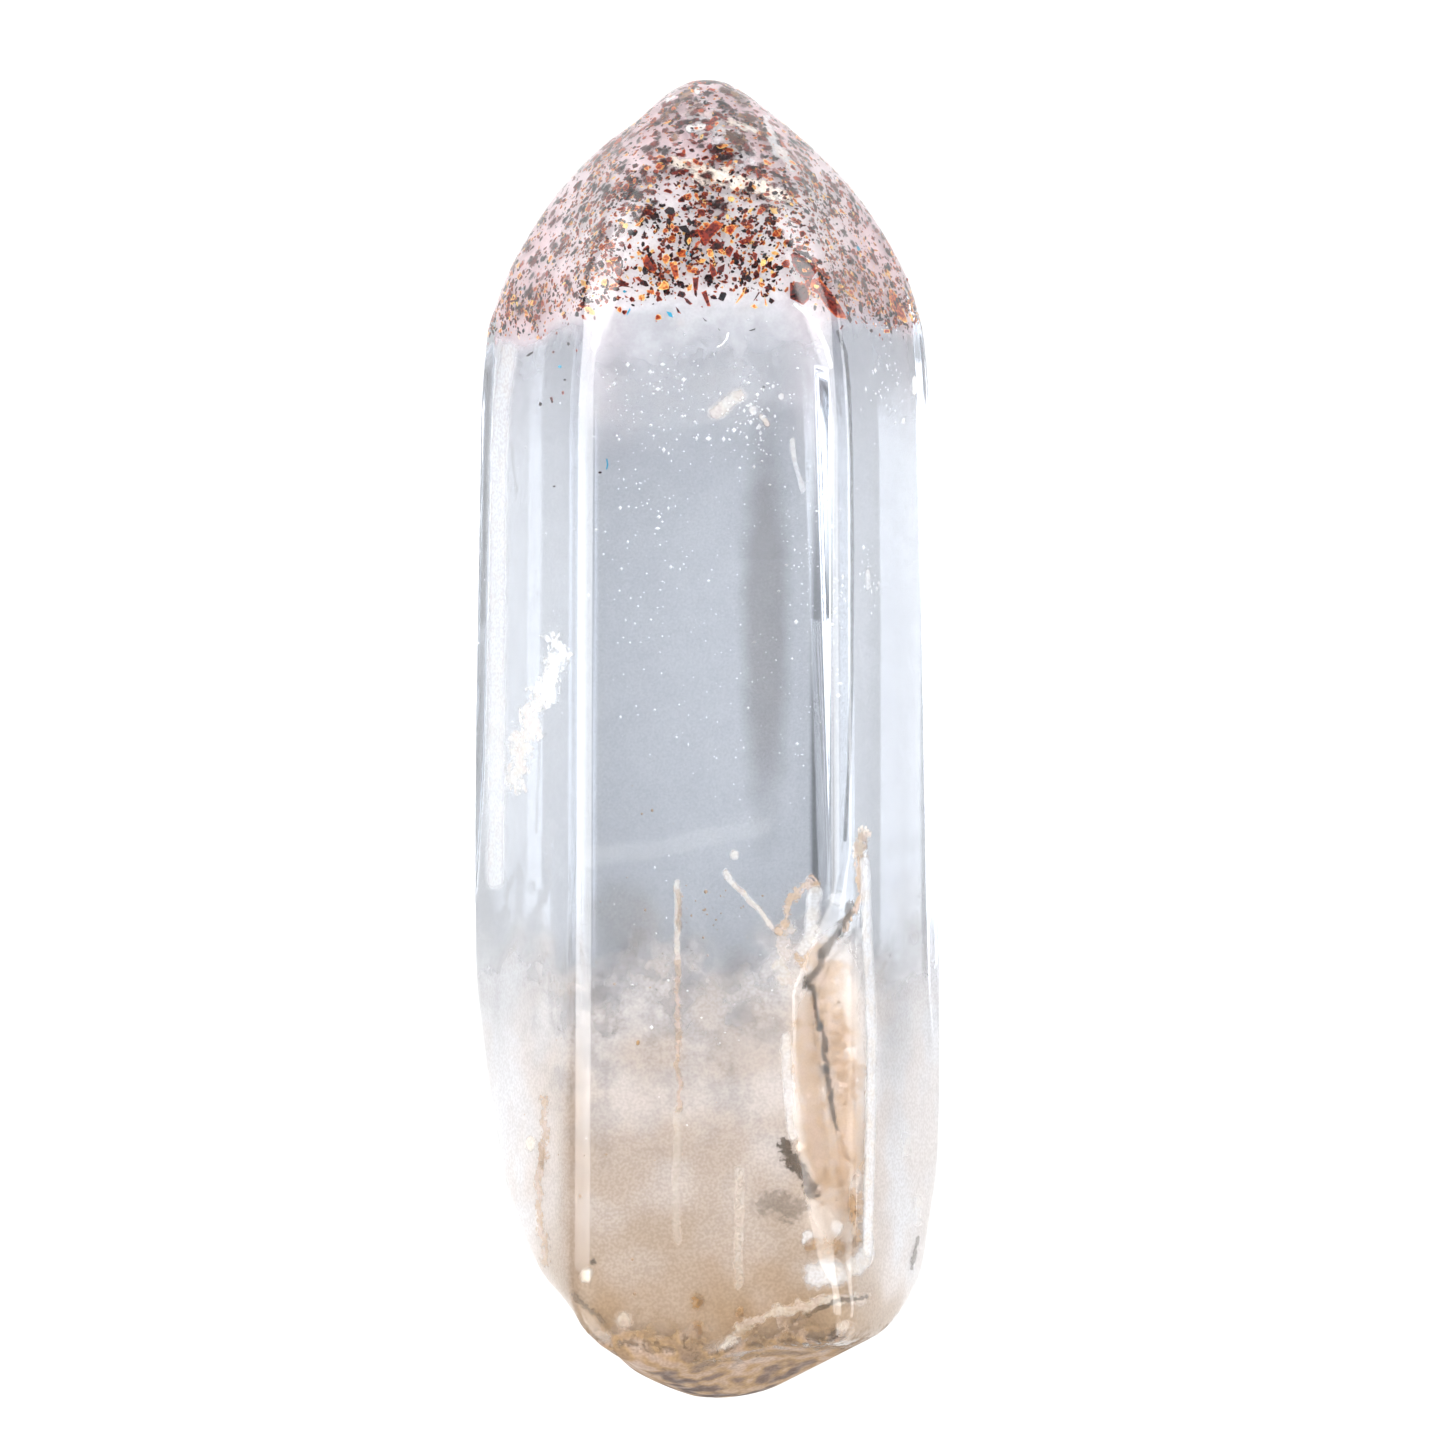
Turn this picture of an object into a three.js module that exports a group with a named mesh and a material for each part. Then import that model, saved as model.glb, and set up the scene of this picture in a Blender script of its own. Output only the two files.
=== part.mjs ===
// A single quartz crystal with a six-sided prism, a pointed end and a broken, worn base.
// It lies on one prism face with its long axis along Y, the point towards +Y and +Z up.
// Its edges are softened by wear, and a V-shaped ledge runs down the edge right of the front face,
// where a narrow parallel growth meets the main crystal. Sizes are millimetres and degrees.
import * as THREE from "three";

// Driving sizes of the prism. The axis runs along Y at this height over the rest face.
const AXIS_Z = 4.6;
const PRISM_HEIGHT = 9.0;
const PRISM_SOFTNESS = 0.25;
const PRISM_SIDES = [
  { azimuth: 0, tilt: 0, distance: PRISM_HEIGHT - AXIS_Z },
  { azimuth: 60, tilt: 0.2, distance: 5.19 },
  { azimuth: 120, tilt: 1.6, distance: 4.88 },
  { azimuth: 180, tilt: 0, distance: AXIS_Z },
  { azimuth: -120, tilt: 1.6, distance: 5.25 },
  { azimuth: -60, tilt: 0.2, distance: 4.97 },
];

// The point: on each side, flats of falling steepness that would meet the axis at these places.
const POINT_SOFTNESS = 0.8;
const POINT_FLATS = [
  { tilt: 55.3, meetsAxisAt: 17.07 },
  { tilt: 38.2, meetsAxisAt: 18.17 },
  { tilt: 29.5, meetsAxisAt: 20.8 },
  { tilt: 16.8, meetsAxisAt: 26.8 },
];

// The base: broken and worn flats, each facing away from the point by its own fall.
const BASE_SOFTNESS = 0.9;
const BASE_FLATS = [
  { azimuth: -90, fall: 7.3, distance: 6.5 },
  { azimuth: -90, fall: 18.8, distance: 8.7 },
  { azimuth: -90, fall: 41, distance: 11.8 },
  { azimuth: -90, fall: 74.6, distance: 15.96 },
  { azimuth: 90, fall: 59.2, distance: 14.82 },
  { azimuth: 90, fall: 9.1, distance: 7.4 },
  { azimuth: 12, fall: 64, distance: 15.45 },
  { azimuth: 172, fall: 52, distance: 14.1 },
  { azimuth: 130, fall: 33, distance: 11.6 },
];

// Hollows: round patches where the surface is pushed in along one direction, by at most their depth.
// Each place is counted from the axis's middle.
const HOLLOWS = [
  { at: [1.6, -15.4, 3.2], radius: 2.3, depth: 0.3, along: [0.1, -0.8, 0.6] },
  { at: [-2.7, -14.4, 2.6], radius: 1.9, depth: 0.28, along: [-0.5, -0.6, 0.6] },
  { at: [3.9, -14.0, -1.9], radius: 2.3, depth: 0.35, along: [0.5, -0.7, -0.5] },
  { at: [-0.8, -15.6, -2.4], radius: 2.4, depth: 0.4, along: [-0.1, -0.8, -0.6] },
  { at: [-1.7, 15.3, 0], radius: 1.0, depth: 0.13, along: [-0.7, 0.7, 0] },
];

// The ledge: its crest lines and its valley, as x at each y down the crystal, and its depth.
const LEDGE = [
  { y: -2.3, left: 3.75, valley: 3.85, right: 3.95, depth: 0 },
  { y: -3.4, left: 3.2, valley: 3.85, right: 3.95, depth: 0.18 },
  { y: -4.6, left: 2.75, valley: 3.6, right: 4.0, depth: 0.42 },
  { y: -6.2, left: 2.1, valley: 2.75, right: 4.05, depth: 0.6 },
  { y: -8.5, left: 2.1, valley: 2.95, right: 4.05, depth: 0.6 },
  { y: -11.0, left: 2.35, valley: 3.35, right: 4.1, depth: 0.5 },
  { y: -12.8, left: 2.7, valley: 3.75, right: 4.15, depth: 0.25 },
  { y: -13.8, left: 3.2, valley: 3.8, right: 4.2, depth: 0 },
];

// The foot: the part of the back face that the crystal rests on, from its middle in x and y.
// It is hollow by a hundredth of a millimetre between its four corners and rises past its ends.
const FOOT_MIDDLE = [-0.2, -3.75];
const FOOT_HALF_SIZE = [3.0, 6.75];
const FOOT_HOLLOW = 0.008;
const FOOT_END_SLOPE = 0.02;

// Where the mesh's rows and columns of points lie.
const POINT_CENTRE_Y = 9;
const BASE_CENTRE_Y = FOOT_MIDDLE[1] - FOOT_HALF_SIZE[1];
const CAP_ROWS = 15;
const UPPER_ROWS = [6, FOOT_MIDDLE[1] + FOOT_HALF_SIZE[1], 0.5];
const LEDGE_ROWS = [-1.8, -2.3, -2.9, -3.5, -4.1, -4.7, -5.4, -6.1, -6.9, -7.7, -8.5, -9.3, -10];
const CORNER_SPREAD = [-3.4, -1.2, 1.2, 3.4];
const COLUMNS_PER_FACE = 3;
const LEDGE_COLUMNS = [22, 24.5, 27, 29.5, 32, 44, 46.5, 49, 51.5];
const COLUMN_CLEARANCE = 1.4;
const SEARCH_REACH = 20;
const SEARCH_STEPS = 40;

const radians = THREE.MathUtils.degToRad;

// The outward direction of a flat: azimuth turns from +Z towards +X, and tilt lifts it towards +Y.
function outward(azimuth, tilt) {
  const [a, t] = [radians(azimuth), radians(tilt)];
  return new THREE.Vector3(Math.sin(a) * Math.cos(t), Math.sin(t), Math.cos(a) * Math.cos(t));
}

// Every flat of the crystal as a plane at a distance from the axis's middle, with its softness.
function crystalFlats() {
  const planes = PRISM_SIDES.map(({ azimuth, tilt, distance }) => ({
    normal: outward(azimuth, tilt),
    distance,
    softness: PRISM_SOFTNESS,
  }));
  for (const { azimuth } of PRISM_SIDES)
    for (const { tilt, meetsAxisAt } of POINT_FLATS) {
      const normal = outward(azimuth, tilt);
      planes.push({ normal, distance: normal.y * meetsAxisAt, softness: POINT_SOFTNESS });
    }
  for (const { azimuth, fall, distance } of BASE_FLATS)
    planes.push({ normal: outward(azimuth, -fall), distance, softness: BASE_SOFTNESS });
  return planes;
}

const flats = crystalFlats();

// The hollows with their places and pushes as vectors.
const hollows = HOLLOWS.map(({ at, radius, depth, along }) => ({
  centre: new THREE.Vector3(...at),
  radius,
  push: new THREE.Vector3(...along).setLength(depth),
}));

// A hump that is 1 at 0, falls smoothly and stays 0 from 1 outwards.
const hump = (t) => (t < 1 ? (1 - t * t) ** 2 : 0);

// The ledge's profile at one y, read between the rows of its table.
function ledgeAt(y) {
  const next = LEDGE.findIndex((row) => row.y <= y);
  if (next <= 0) return null;
  const [above, below] = [LEDGE[next - 1], LEDGE[next]];
  const share = (above.y - y) / (above.y - below.y);
  const between = (key) => THREE.MathUtils.lerp(above[key], below[key], share);
  return {
    left: between("left"),
    valley: between("valley"),
    right: between("right"),
    depth: between("depth"),
  };
}

// How far the ledge is sunk below the prism's faces at a place seen from above.
function ledgeDepth(x, y) {
  const ledge = ledgeAt(y);
  if (!ledge || x <= ledge.left || x >= ledge.right) return 0;
  const rise = x < ledge.valley
    ? (x - ledge.left) / (ledge.valley - ledge.left)
    : (ledge.right - x) / (ledge.right - ledge.valley);
  return ledge.depth * rise;
}

// How far the back face stands above its four resting corners at a place seen from above.
function footRise(x, y) {
  const across = Math.abs(x - FOOT_MIDDLE[0]) / FOOT_HALF_SIZE[0];
  const along = Math.abs(y - FOOT_MIDDLE[1]) / FOOT_HALF_SIZE[1];
  const pastEnd = FOOT_END_SLOPE * FOOT_HALF_SIZE[1] * (along - 1);
  return FOOT_HOLLOW * Math.max(0, 1 - across ** 2) + (along < 1 ? FOOT_HOLLOW * (1 - along ** 2) : pastEnd);
}

// Below 1 inside the crystal, 1 on its surface and above 1 outside.
const probe = new THREE.Vector3();
function fullness(point) {
  probe.copy(point);
  for (const { centre, radius, push } of hollows)
    probe.addScaledVector(push, hump(point.distanceTo(centre) / radius));
  if (point.z > 0) probe.z += ledgeDepth(point.x, point.y);
  else probe.z += (point.z / AXIS_Z) * footRise(point.x, point.y);
  let sum = 0;
  for (const { normal, distance, softness } of flats) {
    const reach = 1 + (normal.dot(probe) - distance) / softness;
    if (reach > 0) sum += reach * reach;
  }
  return sum;
}

// The point of the surface that lies in a direction from a place on the axis.
function surfacePoint(origin, direction) {
  let [inside, outside] = [0, SEARCH_REACH];
  const point = new THREE.Vector3();
  for (let step = 0; step < SEARCH_STEPS; step++) {
    const middle = (inside + outside) / 2;
    point.copy(origin).addScaledVector(direction, middle);
    if (fullness(point) < 1) inside = middle;
    else outside = middle;
  }
  return point.copy(origin).addScaledVector(direction, inside);
}

// The azimuth of each prism edge, from the axis, where two neighbouring faces meet.
function cornerAzimuths() {
  return PRISM_SIDES.map((side, i) => {
    const next = PRISM_SIDES[(i + 1) % PRISM_SIDES.length];
    const turn = radians(60);
    const across = (next.distance - side.distance * Math.cos(turn)) / Math.sin(turn);
    return side.azimuth + THREE.MathUtils.radToDeg(Math.atan2(across, side.distance));
  });
}

// Azimuths of the mesh's columns: close together over each edge and the ledge, sparse on the faces.
function columnAzimuths() {
  const corners = cornerAzimuths().map((a) => (a + 360) % 360).sort((a, b) => a - b);
  const columns = [];
  corners.forEach((corner, i) => {
    const next = corners[(i + 1) % corners.length] + (i + 1 === corners.length ? 360 : 0);
    for (const offset of CORNER_SPREAD) columns.push(corner + offset);
    const start = corner + CORNER_SPREAD.at(-1);
    const gap = (next + CORNER_SPREAD[0] - start) / (COLUMNS_PER_FACE + 1);
    for (let k = 1; k <= COLUMNS_PER_FACE; k++) columns.push(start + k * gap);
  });
  const nearLedge = (a) => LEDGE_COLUMNS.some((b) => Math.abs((a % 360) - b) < COLUMN_CLEARANCE);
  return [...columns.filter((a) => !nearLedge(a)), ...LEDGE_COLUMNS]
    .map((a) => (a + 360) % 360)
    .sort((a, b) => a - b)
    .map(radians);
}

// The rows from the point to the base: each is a centre on the axis and how far it fans along Y.
function fanRows() {
  const quarter = Math.PI / 2;
  const rows = [];
  for (let i = 1; i <= CAP_ROWS; i++) rows.push({ y: POINT_CENTRE_Y, lift: quarter * (1 - i / CAP_ROWS) });
  for (const y of [...UPPER_ROWS, ...LEDGE_ROWS]) rows.push({ y, lift: 0 });
  for (let i = 0; i < CAP_ROWS; i++) rows.push({ y: BASE_CENTRE_Y, lift: (-quarter * i) / CAP_ROWS });
  return rows;
}

// The closed surface of the crystal as a grid of rows and columns between two poles.
function crystalGeometry() {
  const columns = columnAzimuths();
  const rows = fanRows();
  const positions = [];
  const place = (y, lift, azimuth) => {
    const direction = new THREE.Vector3(
      Math.sin(azimuth) * Math.cos(lift),
      Math.sin(lift),
      Math.cos(azimuth) * Math.cos(lift),
    );
    positions.push(...surfacePoint(new THREE.Vector3(0, y, 0), direction));
  };
  place(POINT_CENTRE_Y, Math.PI / 2, 0);
  for (const { y, lift } of rows) for (const azimuth of columns) place(y, lift, azimuth);
  place(BASE_CENTRE_Y, -Math.PI / 2, 0);

  const count = columns.length;
  const at = (row, column) => 1 + row * count + (column % count);
  const last = 1 + rows.length * count;
  const faces = [];
  for (let c = 0; c < count; c++) {
    faces.push(0, at(0, c), at(0, c + 1));
    for (let r = 0; r + 1 < rows.length; r++) {
      faces.push(at(r, c), at(r + 1, c), at(r + 1, c + 1));
      faces.push(at(r, c), at(r + 1, c + 1), at(r, c + 1));
    }
    faces.push(last, at(rows.length - 1, c + 1), at(rows.length - 1, c));
  }
  const geometry = new THREE.BufferGeometry();
  geometry.setAttribute("position", new THREE.Float32BufferAttribute(positions, 3));
  geometry.setIndex(faces);
  geometry.computeVertexNormals();
  return geometry;
}

// The quartz itself: one clear, faintly blue-grey piece.
function quartzCrystal() {
  const quartz = new THREE.MeshStandardMaterial({ color: 0xd5dce4, roughness: 0.06, metalness: 0 });
  const mesh = new THREE.Mesh(crystalGeometry(), quartz);
  mesh.name = "quartz_crystal";
  mesh.position.z = AXIS_Z;
  return mesh;
}

const specimen = new THREE.Group();
specimen.add(quartzCrystal());

export default specimen;
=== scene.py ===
"""Dresses a quartz crystal whose point is full of lepidocrocite flakes and whose base is stained by clay.

The crystal lies on one prism face, with its long axis along Y and its point towards +Y. All forms are
worked out in millimetres and turned into metres when their meshes are made.
"""
import logging
import math
from dataclasses import dataclass, field
from enum import Enum
from typing import Sequence

import bpy
import numpy as np
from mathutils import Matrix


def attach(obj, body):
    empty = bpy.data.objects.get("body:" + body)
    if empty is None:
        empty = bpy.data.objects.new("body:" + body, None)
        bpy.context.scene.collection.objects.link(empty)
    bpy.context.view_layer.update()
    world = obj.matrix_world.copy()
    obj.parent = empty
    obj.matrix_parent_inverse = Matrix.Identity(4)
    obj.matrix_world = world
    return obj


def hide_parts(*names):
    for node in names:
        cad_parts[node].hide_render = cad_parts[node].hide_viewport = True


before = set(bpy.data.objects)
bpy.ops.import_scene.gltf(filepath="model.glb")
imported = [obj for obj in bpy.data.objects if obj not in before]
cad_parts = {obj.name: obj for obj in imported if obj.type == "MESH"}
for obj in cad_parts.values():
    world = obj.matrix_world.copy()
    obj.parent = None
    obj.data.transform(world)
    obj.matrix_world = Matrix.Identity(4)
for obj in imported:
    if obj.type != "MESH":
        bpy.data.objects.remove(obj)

LOG = logging.getLogger("quartz")
MM = 0.001
ROOT = "root"
CRYSTAL_NODE = "quartz_crystal"
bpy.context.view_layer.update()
QUARTZ_IOR = 1.544

Array = np.ndarray


def unit(vectors: Array) -> Array:
    """Scales each row of an array to length 1.

    Args:
        vectors: Rows of three numbers.

    Returns:
        The rows, each of length 1.
    """
    return vectors / np.linalg.norm(vectors, axis=-1, keepdims=True)


def outward(azimuth: Array, tilt: Array) -> Array:
    """Gives outward directions round the crystal's axis.

    Args:
        azimuth: Turn from +Z towards +X, in degrees.
        tilt: Lift towards +Y, in degrees.

    Returns:
        One unit vector per row.
    """
    a, t = np.radians(azimuth), np.radians(tilt)
    return np.stack([np.sin(a) * np.cos(t), np.sin(t) + 0 * a, np.cos(a) * np.cos(t)], axis=-1)


def hump(t: Array) -> Array:
    """Gives a smooth hump that is 1 at 0 and stays 0 from 1 outwards."""
    return np.where(t < 1, (1 - np.minimum(t, 1) ** 2) ** 2, 0.0)


@dataclass(frozen=True)
class Profile:
    """A value that changes along a measure, by what it is at a few places."""

    places: tuple[float, ...]
    values: tuple[float, ...]

    def at(self, where: Array) -> Array:
        """Gives the value at each place, on a straight line between the two nearest."""
        return np.interp(where, self.places, self.values)


@dataclass(frozen=True)
class PrismSide:
    """One long face of the prism, by its azimuth and tilt in degrees and its distance in millimetres."""

    azimuth: float
    tilt: float
    distance: float


@dataclass(frozen=True)
class PointFlat:
    """A ring of six flats round the point, with where they would meet the axis."""

    tilt: float
    meets_axis_at: float


@dataclass(frozen=True)
class BaseFlat:
    """A broken and worn flat at the base, which faces away from the point by its fall."""

    azimuth: float
    fall: float
    distance: float


@dataclass(frozen=True)
class Hollow:
    """A round patch where the surface is pushed in. Its place is counted from the axis's middle."""

    at: tuple[float, float, float]
    radius: float
    depth: float
    along: tuple[float, float, float]


@dataclass(frozen=True)
class LedgeRow:
    """The ledge's crests, valley and depth at one place down the crystal."""

    y: float
    left: float
    valley: float
    right: float
    depth: float


@dataclass(frozen=True)
class CrystalForm:
    """The crystal's outer form: flat faces whose shared edges are rounded by wear. Millimetres."""

    axis_z: float = 4.6
    prism_height: float = 9.0
    prism_softness: float = 0.25
    point_softness: float = 0.8
    base_softness: float = 0.9
    sides: tuple[PrismSide, ...] = (
        PrismSide(0, 0, 4.4),
        PrismSide(60, 0.2, 5.19),
        PrismSide(120, 1.6, 4.88),
        PrismSide(180, 0, 4.6),
        PrismSide(-120, 1.6, 5.25),
        PrismSide(-60, 0.2, 4.97),
    )
    point_flats: tuple[PointFlat, ...] = (
        PointFlat(55.3, 17.07),
        PointFlat(38.2, 18.17),
        PointFlat(29.5, 20.8),
        PointFlat(16.8, 26.8),
    )
    base_flats: tuple[BaseFlat, ...] = (
        BaseFlat(-90, 7.3, 6.5),
        BaseFlat(-90, 18.8, 8.7),
        BaseFlat(-90, 41, 11.8),
        BaseFlat(-90, 74.6, 15.96),
        BaseFlat(90, 59.2, 14.82),
        BaseFlat(90, 9.1, 7.4),
        BaseFlat(12, 64, 15.45),
        BaseFlat(172, 52, 14.1),
        BaseFlat(130, 33, 11.6),
    )
    hollows: tuple[Hollow, ...] = (
        Hollow((1.6, -15.4, 3.2), 2.3, 0.3, (0.1, -0.8, 0.6)),
        Hollow((-2.7, -14.4, 2.6), 1.9, 0.28, (-0.5, -0.6, 0.6)),
        Hollow((3.9, -14.0, -1.9), 2.3, 0.35, (0.5, -0.7, -0.5)),
        Hollow((-0.8, -15.6, -2.4), 2.4, 0.4, (-0.1, -0.8, -0.6)),
        Hollow((-1.7, 15.3, 0), 1.0, 0.13, (-0.7, 0.7, 0)),
    )
    ledge: tuple[LedgeRow, ...] = (
        LedgeRow(-2.3, 3.75, 3.85, 3.95, 0),
        LedgeRow(-3.4, 3.2, 3.85, 3.95, 0.12),
        LedgeRow(-4.6, 2.75, 3.6, 4.0, 0.28),
        LedgeRow(-6.2, 2.1, 2.75, 4.05, 0.42),
        LedgeRow(-8.5, 2.1, 2.95, 4.05, 0.42),
        LedgeRow(-11.0, 2.35, 3.35, 4.1, 0.35),
        LedgeRow(-12.8, 2.7, 3.75, 4.15, 0.18),
        LedgeRow(-13.8, 3.2, 3.8, 4.2, 0),
    )
    front_softness: float = 0.37
    front_softness_heights: tuple[float, float] = (1.5, 3.0)
    foot_middle: tuple[float, float] = (-0.2, -3.75)
    foot_half_size: tuple[float, float] = (3.0, 6.75)
    foot_hollow: float = 0.008
    foot_end_slope: float = 0.02
    search_steps: int = 36
    slope_step: float = 0.002

    def flats(self) -> tuple[Array, Array, Array]:
        """Lists every flat of the crystal as a plane at a distance from the axis's middle.

        Returns:
            Normals, distances and softnesses, one row each.
        """
        sides = np.array([(s.azimuth, s.tilt, s.distance) for s in self.sides])
        normals = [outward(sides[:, 0], sides[:, 1])]
        distances = [sides[:, 2]]
        softness = [np.full(len(sides), self.prism_softness)]
        for flat in self.point_flats:
            ring = outward(sides[:, 0], np.full(len(sides), flat.tilt))
            normals.append(ring)
            distances.append(ring[:, 1] * flat.meets_axis_at)
            softness.append(np.full(len(sides), self.point_softness))
        base = np.array([(b.azimuth, b.fall, b.distance) for b in self.base_flats])
        normals.append(outward(base[:, 0], -base[:, 1]))
        distances.append(base[:, 2])
        softness.append(np.full(len(base), self.base_softness))
        return np.concatenate(normals), np.concatenate(distances), np.concatenate(softness)

    def ledge_depth(self, x: Array, y: Array) -> Array:
        """Gives how far the ledge is sunk below the prism's faces, seen from above."""
        rows = sorted(self.ledge, key=lambda row: row.y)
        ys = [row.y for row in rows]
        left, valley, right, depth = (
            np.interp(y, ys, [getattr(row, name) for row in rows], left=0, right=0)
            for name in ("left", "valley", "right", "depth")
        )
        with np.errstate(divide="ignore", invalid="ignore"):
            rise = np.where(x < valley, (x - left) / (valley - left), (right - x) / (right - valley))
        rise = np.clip(np.nan_to_num(rise), 0, 1)
        return np.where((x > left) & (x < right), depth * rise**2 * (3 - 2 * rise), 0.0)

    def foot_rise(self, x: Array, y: Array) -> Array:
        """Gives how far the face it lies on is hollowed between its corners and lifted past its ends."""
        across = np.abs(x - self.foot_middle[0]) / self.foot_half_size[0]
        along = np.abs(y - self.foot_middle[1]) / self.foot_half_size[1]
        past_end = self.foot_end_slope * self.foot_half_size[1] * (along - 1)
        middle = self.foot_hollow * np.maximum(0, 1 - across**2)
        return middle + np.where(along < 1, self.foot_hollow * (1 - along**2), past_end)

    def fullness(self, points: Array, inset: float | Array = 0.0) -> Array:
        """Says where points lie: below 1 inside the crystal, 1 on its surface and above 1 outside.

        Args:
            points: Rows of x, y and z in millimetres, with z from the surface it lies on.
            inset: How far every flat is moved in, for forms that lie inside the crystal.

        Returns:
            One number per point.
        """
        centred = points - np.array([0, 0, self.axis_z])
        probe = centred.copy()
        for hollow in self.hollows:
            reach = np.linalg.norm(centred - np.array(hollow.at), axis=-1) / hollow.radius
            push = hollow.depth * unit(np.array(hollow.along, float))
            probe += hump(reach)[..., None] * push
        x, y, z = points[..., 0], points[..., 1], centred[..., 2]
        probe[..., 2] += np.where(z > 0, self.ledge_depth(x, y), z / self.axis_z * self.foot_rise(x, y))
        total = np.zeros(points.shape[:-1])
        worn = np.interp(z, self.front_softness_heights, (self.prism_softness, self.front_softness))
        for index, (normal, distance, softness) in enumerate(zip(*self.flats())):
            roundness = worn if index < len(self.sides) else softness
            reach = np.maximum(0.0, 1 + (probe @ normal - distance + inset) / roundness)
            total += reach * reach
        return total

    def facing(self, points: Array, inset: float | Array = 0.0) -> Array:
        """Gives the outward direction of the surface, or of an inset form, at points on it."""
        slopes = []
        for step in np.eye(3) * self.slope_step:
            slopes.append(self.fullness(points + step, inset) - self.fullness(points - step, inset))
        return unit(np.stack(slopes, axis=-1) + 1e-12)

    def along_rays(
        self, starts: Array, directions: Array, near: Array, far: Array, inset: float | Array = 0.0
    ) -> Array:
        """Finds where rays cross the surface, or a form inside it.

        Args:
            starts: One start per ray.
            directions: One unit direction per ray.
            near: A distance along each ray that is inside the form.
            far: A distance along each ray that is outside it.
            inset: How far every flat is moved in.

        Returns:
            One point of the form per ray.
        """
        near = np.broadcast_to(near, starts.shape[:-1]).astype(float).copy()
        far = np.broadcast_to(far, starts.shape[:-1]).astype(float).copy()
        for _ in range(self.search_steps):
            middle = (near + far) / 2
            inside = self.fullness(starts + directions * middle[..., None], inset) < 1
            near = np.where(inside, middle, near)
            far = np.where(inside, far, middle)
        return starts + directions * near[..., None]


@dataclass(frozen=True)
class PhotoFrame:
    """How the photograph's frame lies over the crystal, in pixels and millimetres."""

    size_px: float = 1445.0
    mm_per_px: float = 0.025
    origin_px: tuple[float, float] = (706.5, 738.5)
    plane_z: float = 4.6
    lens: float = 200.0
    sensor: float = 36.0

    def on_plane(self, pixels: Array) -> Array:
        """Gives the points of the plane through the crystal's axis that pixels show, in millimetres."""
        pixels = np.asarray(pixels, float)
        x = (pixels[..., 0] - self.origin_px[0]) * self.mm_per_px
        y = (self.origin_px[1] - pixels[..., 1]) * self.mm_per_px
        return np.stack([x, y, np.full(x.shape, self.plane_z)], axis=-1)

    def eye(self) -> Array:
        """Gives the camera's place in millimetres."""
        centre = self.on_plane(np.array([self.size_px / 2, self.size_px / 2]))
        away = self.size_px * self.mm_per_px * self.lens / self.sensor
        return centre + np.array([0, 0, away])


@dataclass(frozen=True)
class Sight:
    """Finds the places inside the crystal that show at given pixels of the photograph."""

    form: CrystalForm = field(default_factory=CrystalForm)
    photo: PhotoFrame = field(default_factory=PhotoFrame)

    def below_skin(self, pixels: Array, depth: float | Array) -> tuple[Array, Array]:
        """Follows the view through pixels into the crystal, bent by the surface as light is.

        Args:
            pixels: Rows of pixel x and y, inside the crystal's outline.
            depth: How far below the surface, in millimetres.

        Returns:
            The points, and the surface's outward directions above them.
        """
        eye = self.photo.eye()
        on_plane = self.photo.on_plane(pixels)
        aims = unit(on_plane - eye)
        near = np.linalg.norm(on_plane - eye, axis=-1)
        far = near - 1.2 * self.form.prism_height / -aims[..., 2]
        skin = self.form.along_rays(np.broadcast_to(eye, aims.shape), aims, near, far)
        normals = self.form.facing(skin)
        facing_share = -(aims * normals).sum(-1, keepdims=True)
        bent = 1 - (1 - facing_share**2) / QUARTZ_IOR**2
        inner = unit(aims / QUARTZ_IOR + (facing_share / QUARTZ_IOR - np.sqrt(bent)) * normals)
        steps = np.asarray(depth, float)[..., None] / -(inner * normals).sum(-1, keepdims=True)
        return skin + inner * steps, normals


class Grains:
    """Gathers many small solids or films and joins them in one mesh, with values for each point."""

    def __init__(self) -> None:
        """Starts with nothing gathered."""
        self.points: list[Array] = []
        self.faces: list[list[int]] = []
        self.values: dict[str, list[Array]] = {}
        self.count = 0

    def add(self, points: Array, faces: Sequence[Sequence[int]], **values: float | Array) -> None:
        """Adds one solid or film.

        Args:
            points: Its points in millimetres.
            faces: Its faces, each a list of places in points.
            **values: Numbers from 0 to 1 that its finish reads, the same names for every solid.
        """
        self.faces += [[self.count + corner for corner in face] for face in faces]
        self.points.append(points)
        for name, value in values.items():
            self.values.setdefault(name, []).append(np.broadcast_to(value, len(points)))
        self.count += len(points)

    def add_plate(self, rim: Array, shift: Array, tone: float) -> None:
        """Adds a thin closed plate between a rim of points and the same rim shifted, with a core value."""
        n = len(rim)
        bottom = rim + shift
        faces = []
        for i in range(n):
            j = (i + 1) % n
            faces += [[n, j, i], [2 * n + 1, n + 1 + i, n + 1 + j], [i, j, n + 1 + j, n + 1 + i]]
        points = np.concatenate([rim, rim.mean(0, keepdims=True), bottom, bottom.mean(0, keepdims=True)])
        self.add(points, faces, tone=tone, core=np.tile([0.0] * n + [1.0], 2))

    def join(self, name: str) -> bpy.types.Object:
        """Makes one object of all that was gathered.

        Args:
            name: The object's name.

        Returns:
            The object, in the scene.
        """
        mesh = bpy.data.meshes.new(name)
        mesh.from_pydata((np.concatenate(self.points) * MM).tolist(), [], self.faces)
        for label, values in self.values.items():
            layer = mesh.attributes.new(label, "FLOAT", "POINT")
            layer.data.foreach_set("value", np.concatenate(values).astype(np.float32))
        joined = bpy.data.objects.new(name, mesh)
        bpy.context.scene.collection.objects.link(joined)
        return joined


def settle(piece: bpy.types.Object, finish: bpy.types.Material) -> None:
    """Gives a piece that is sealed in the crystal its finish and its place in the frame."""
    piece.data.materials.append(finish)
    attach(piece, ROOT)
    LOG.info("%s: %d faces", piece.name, len(piece.data.polygons))


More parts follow.
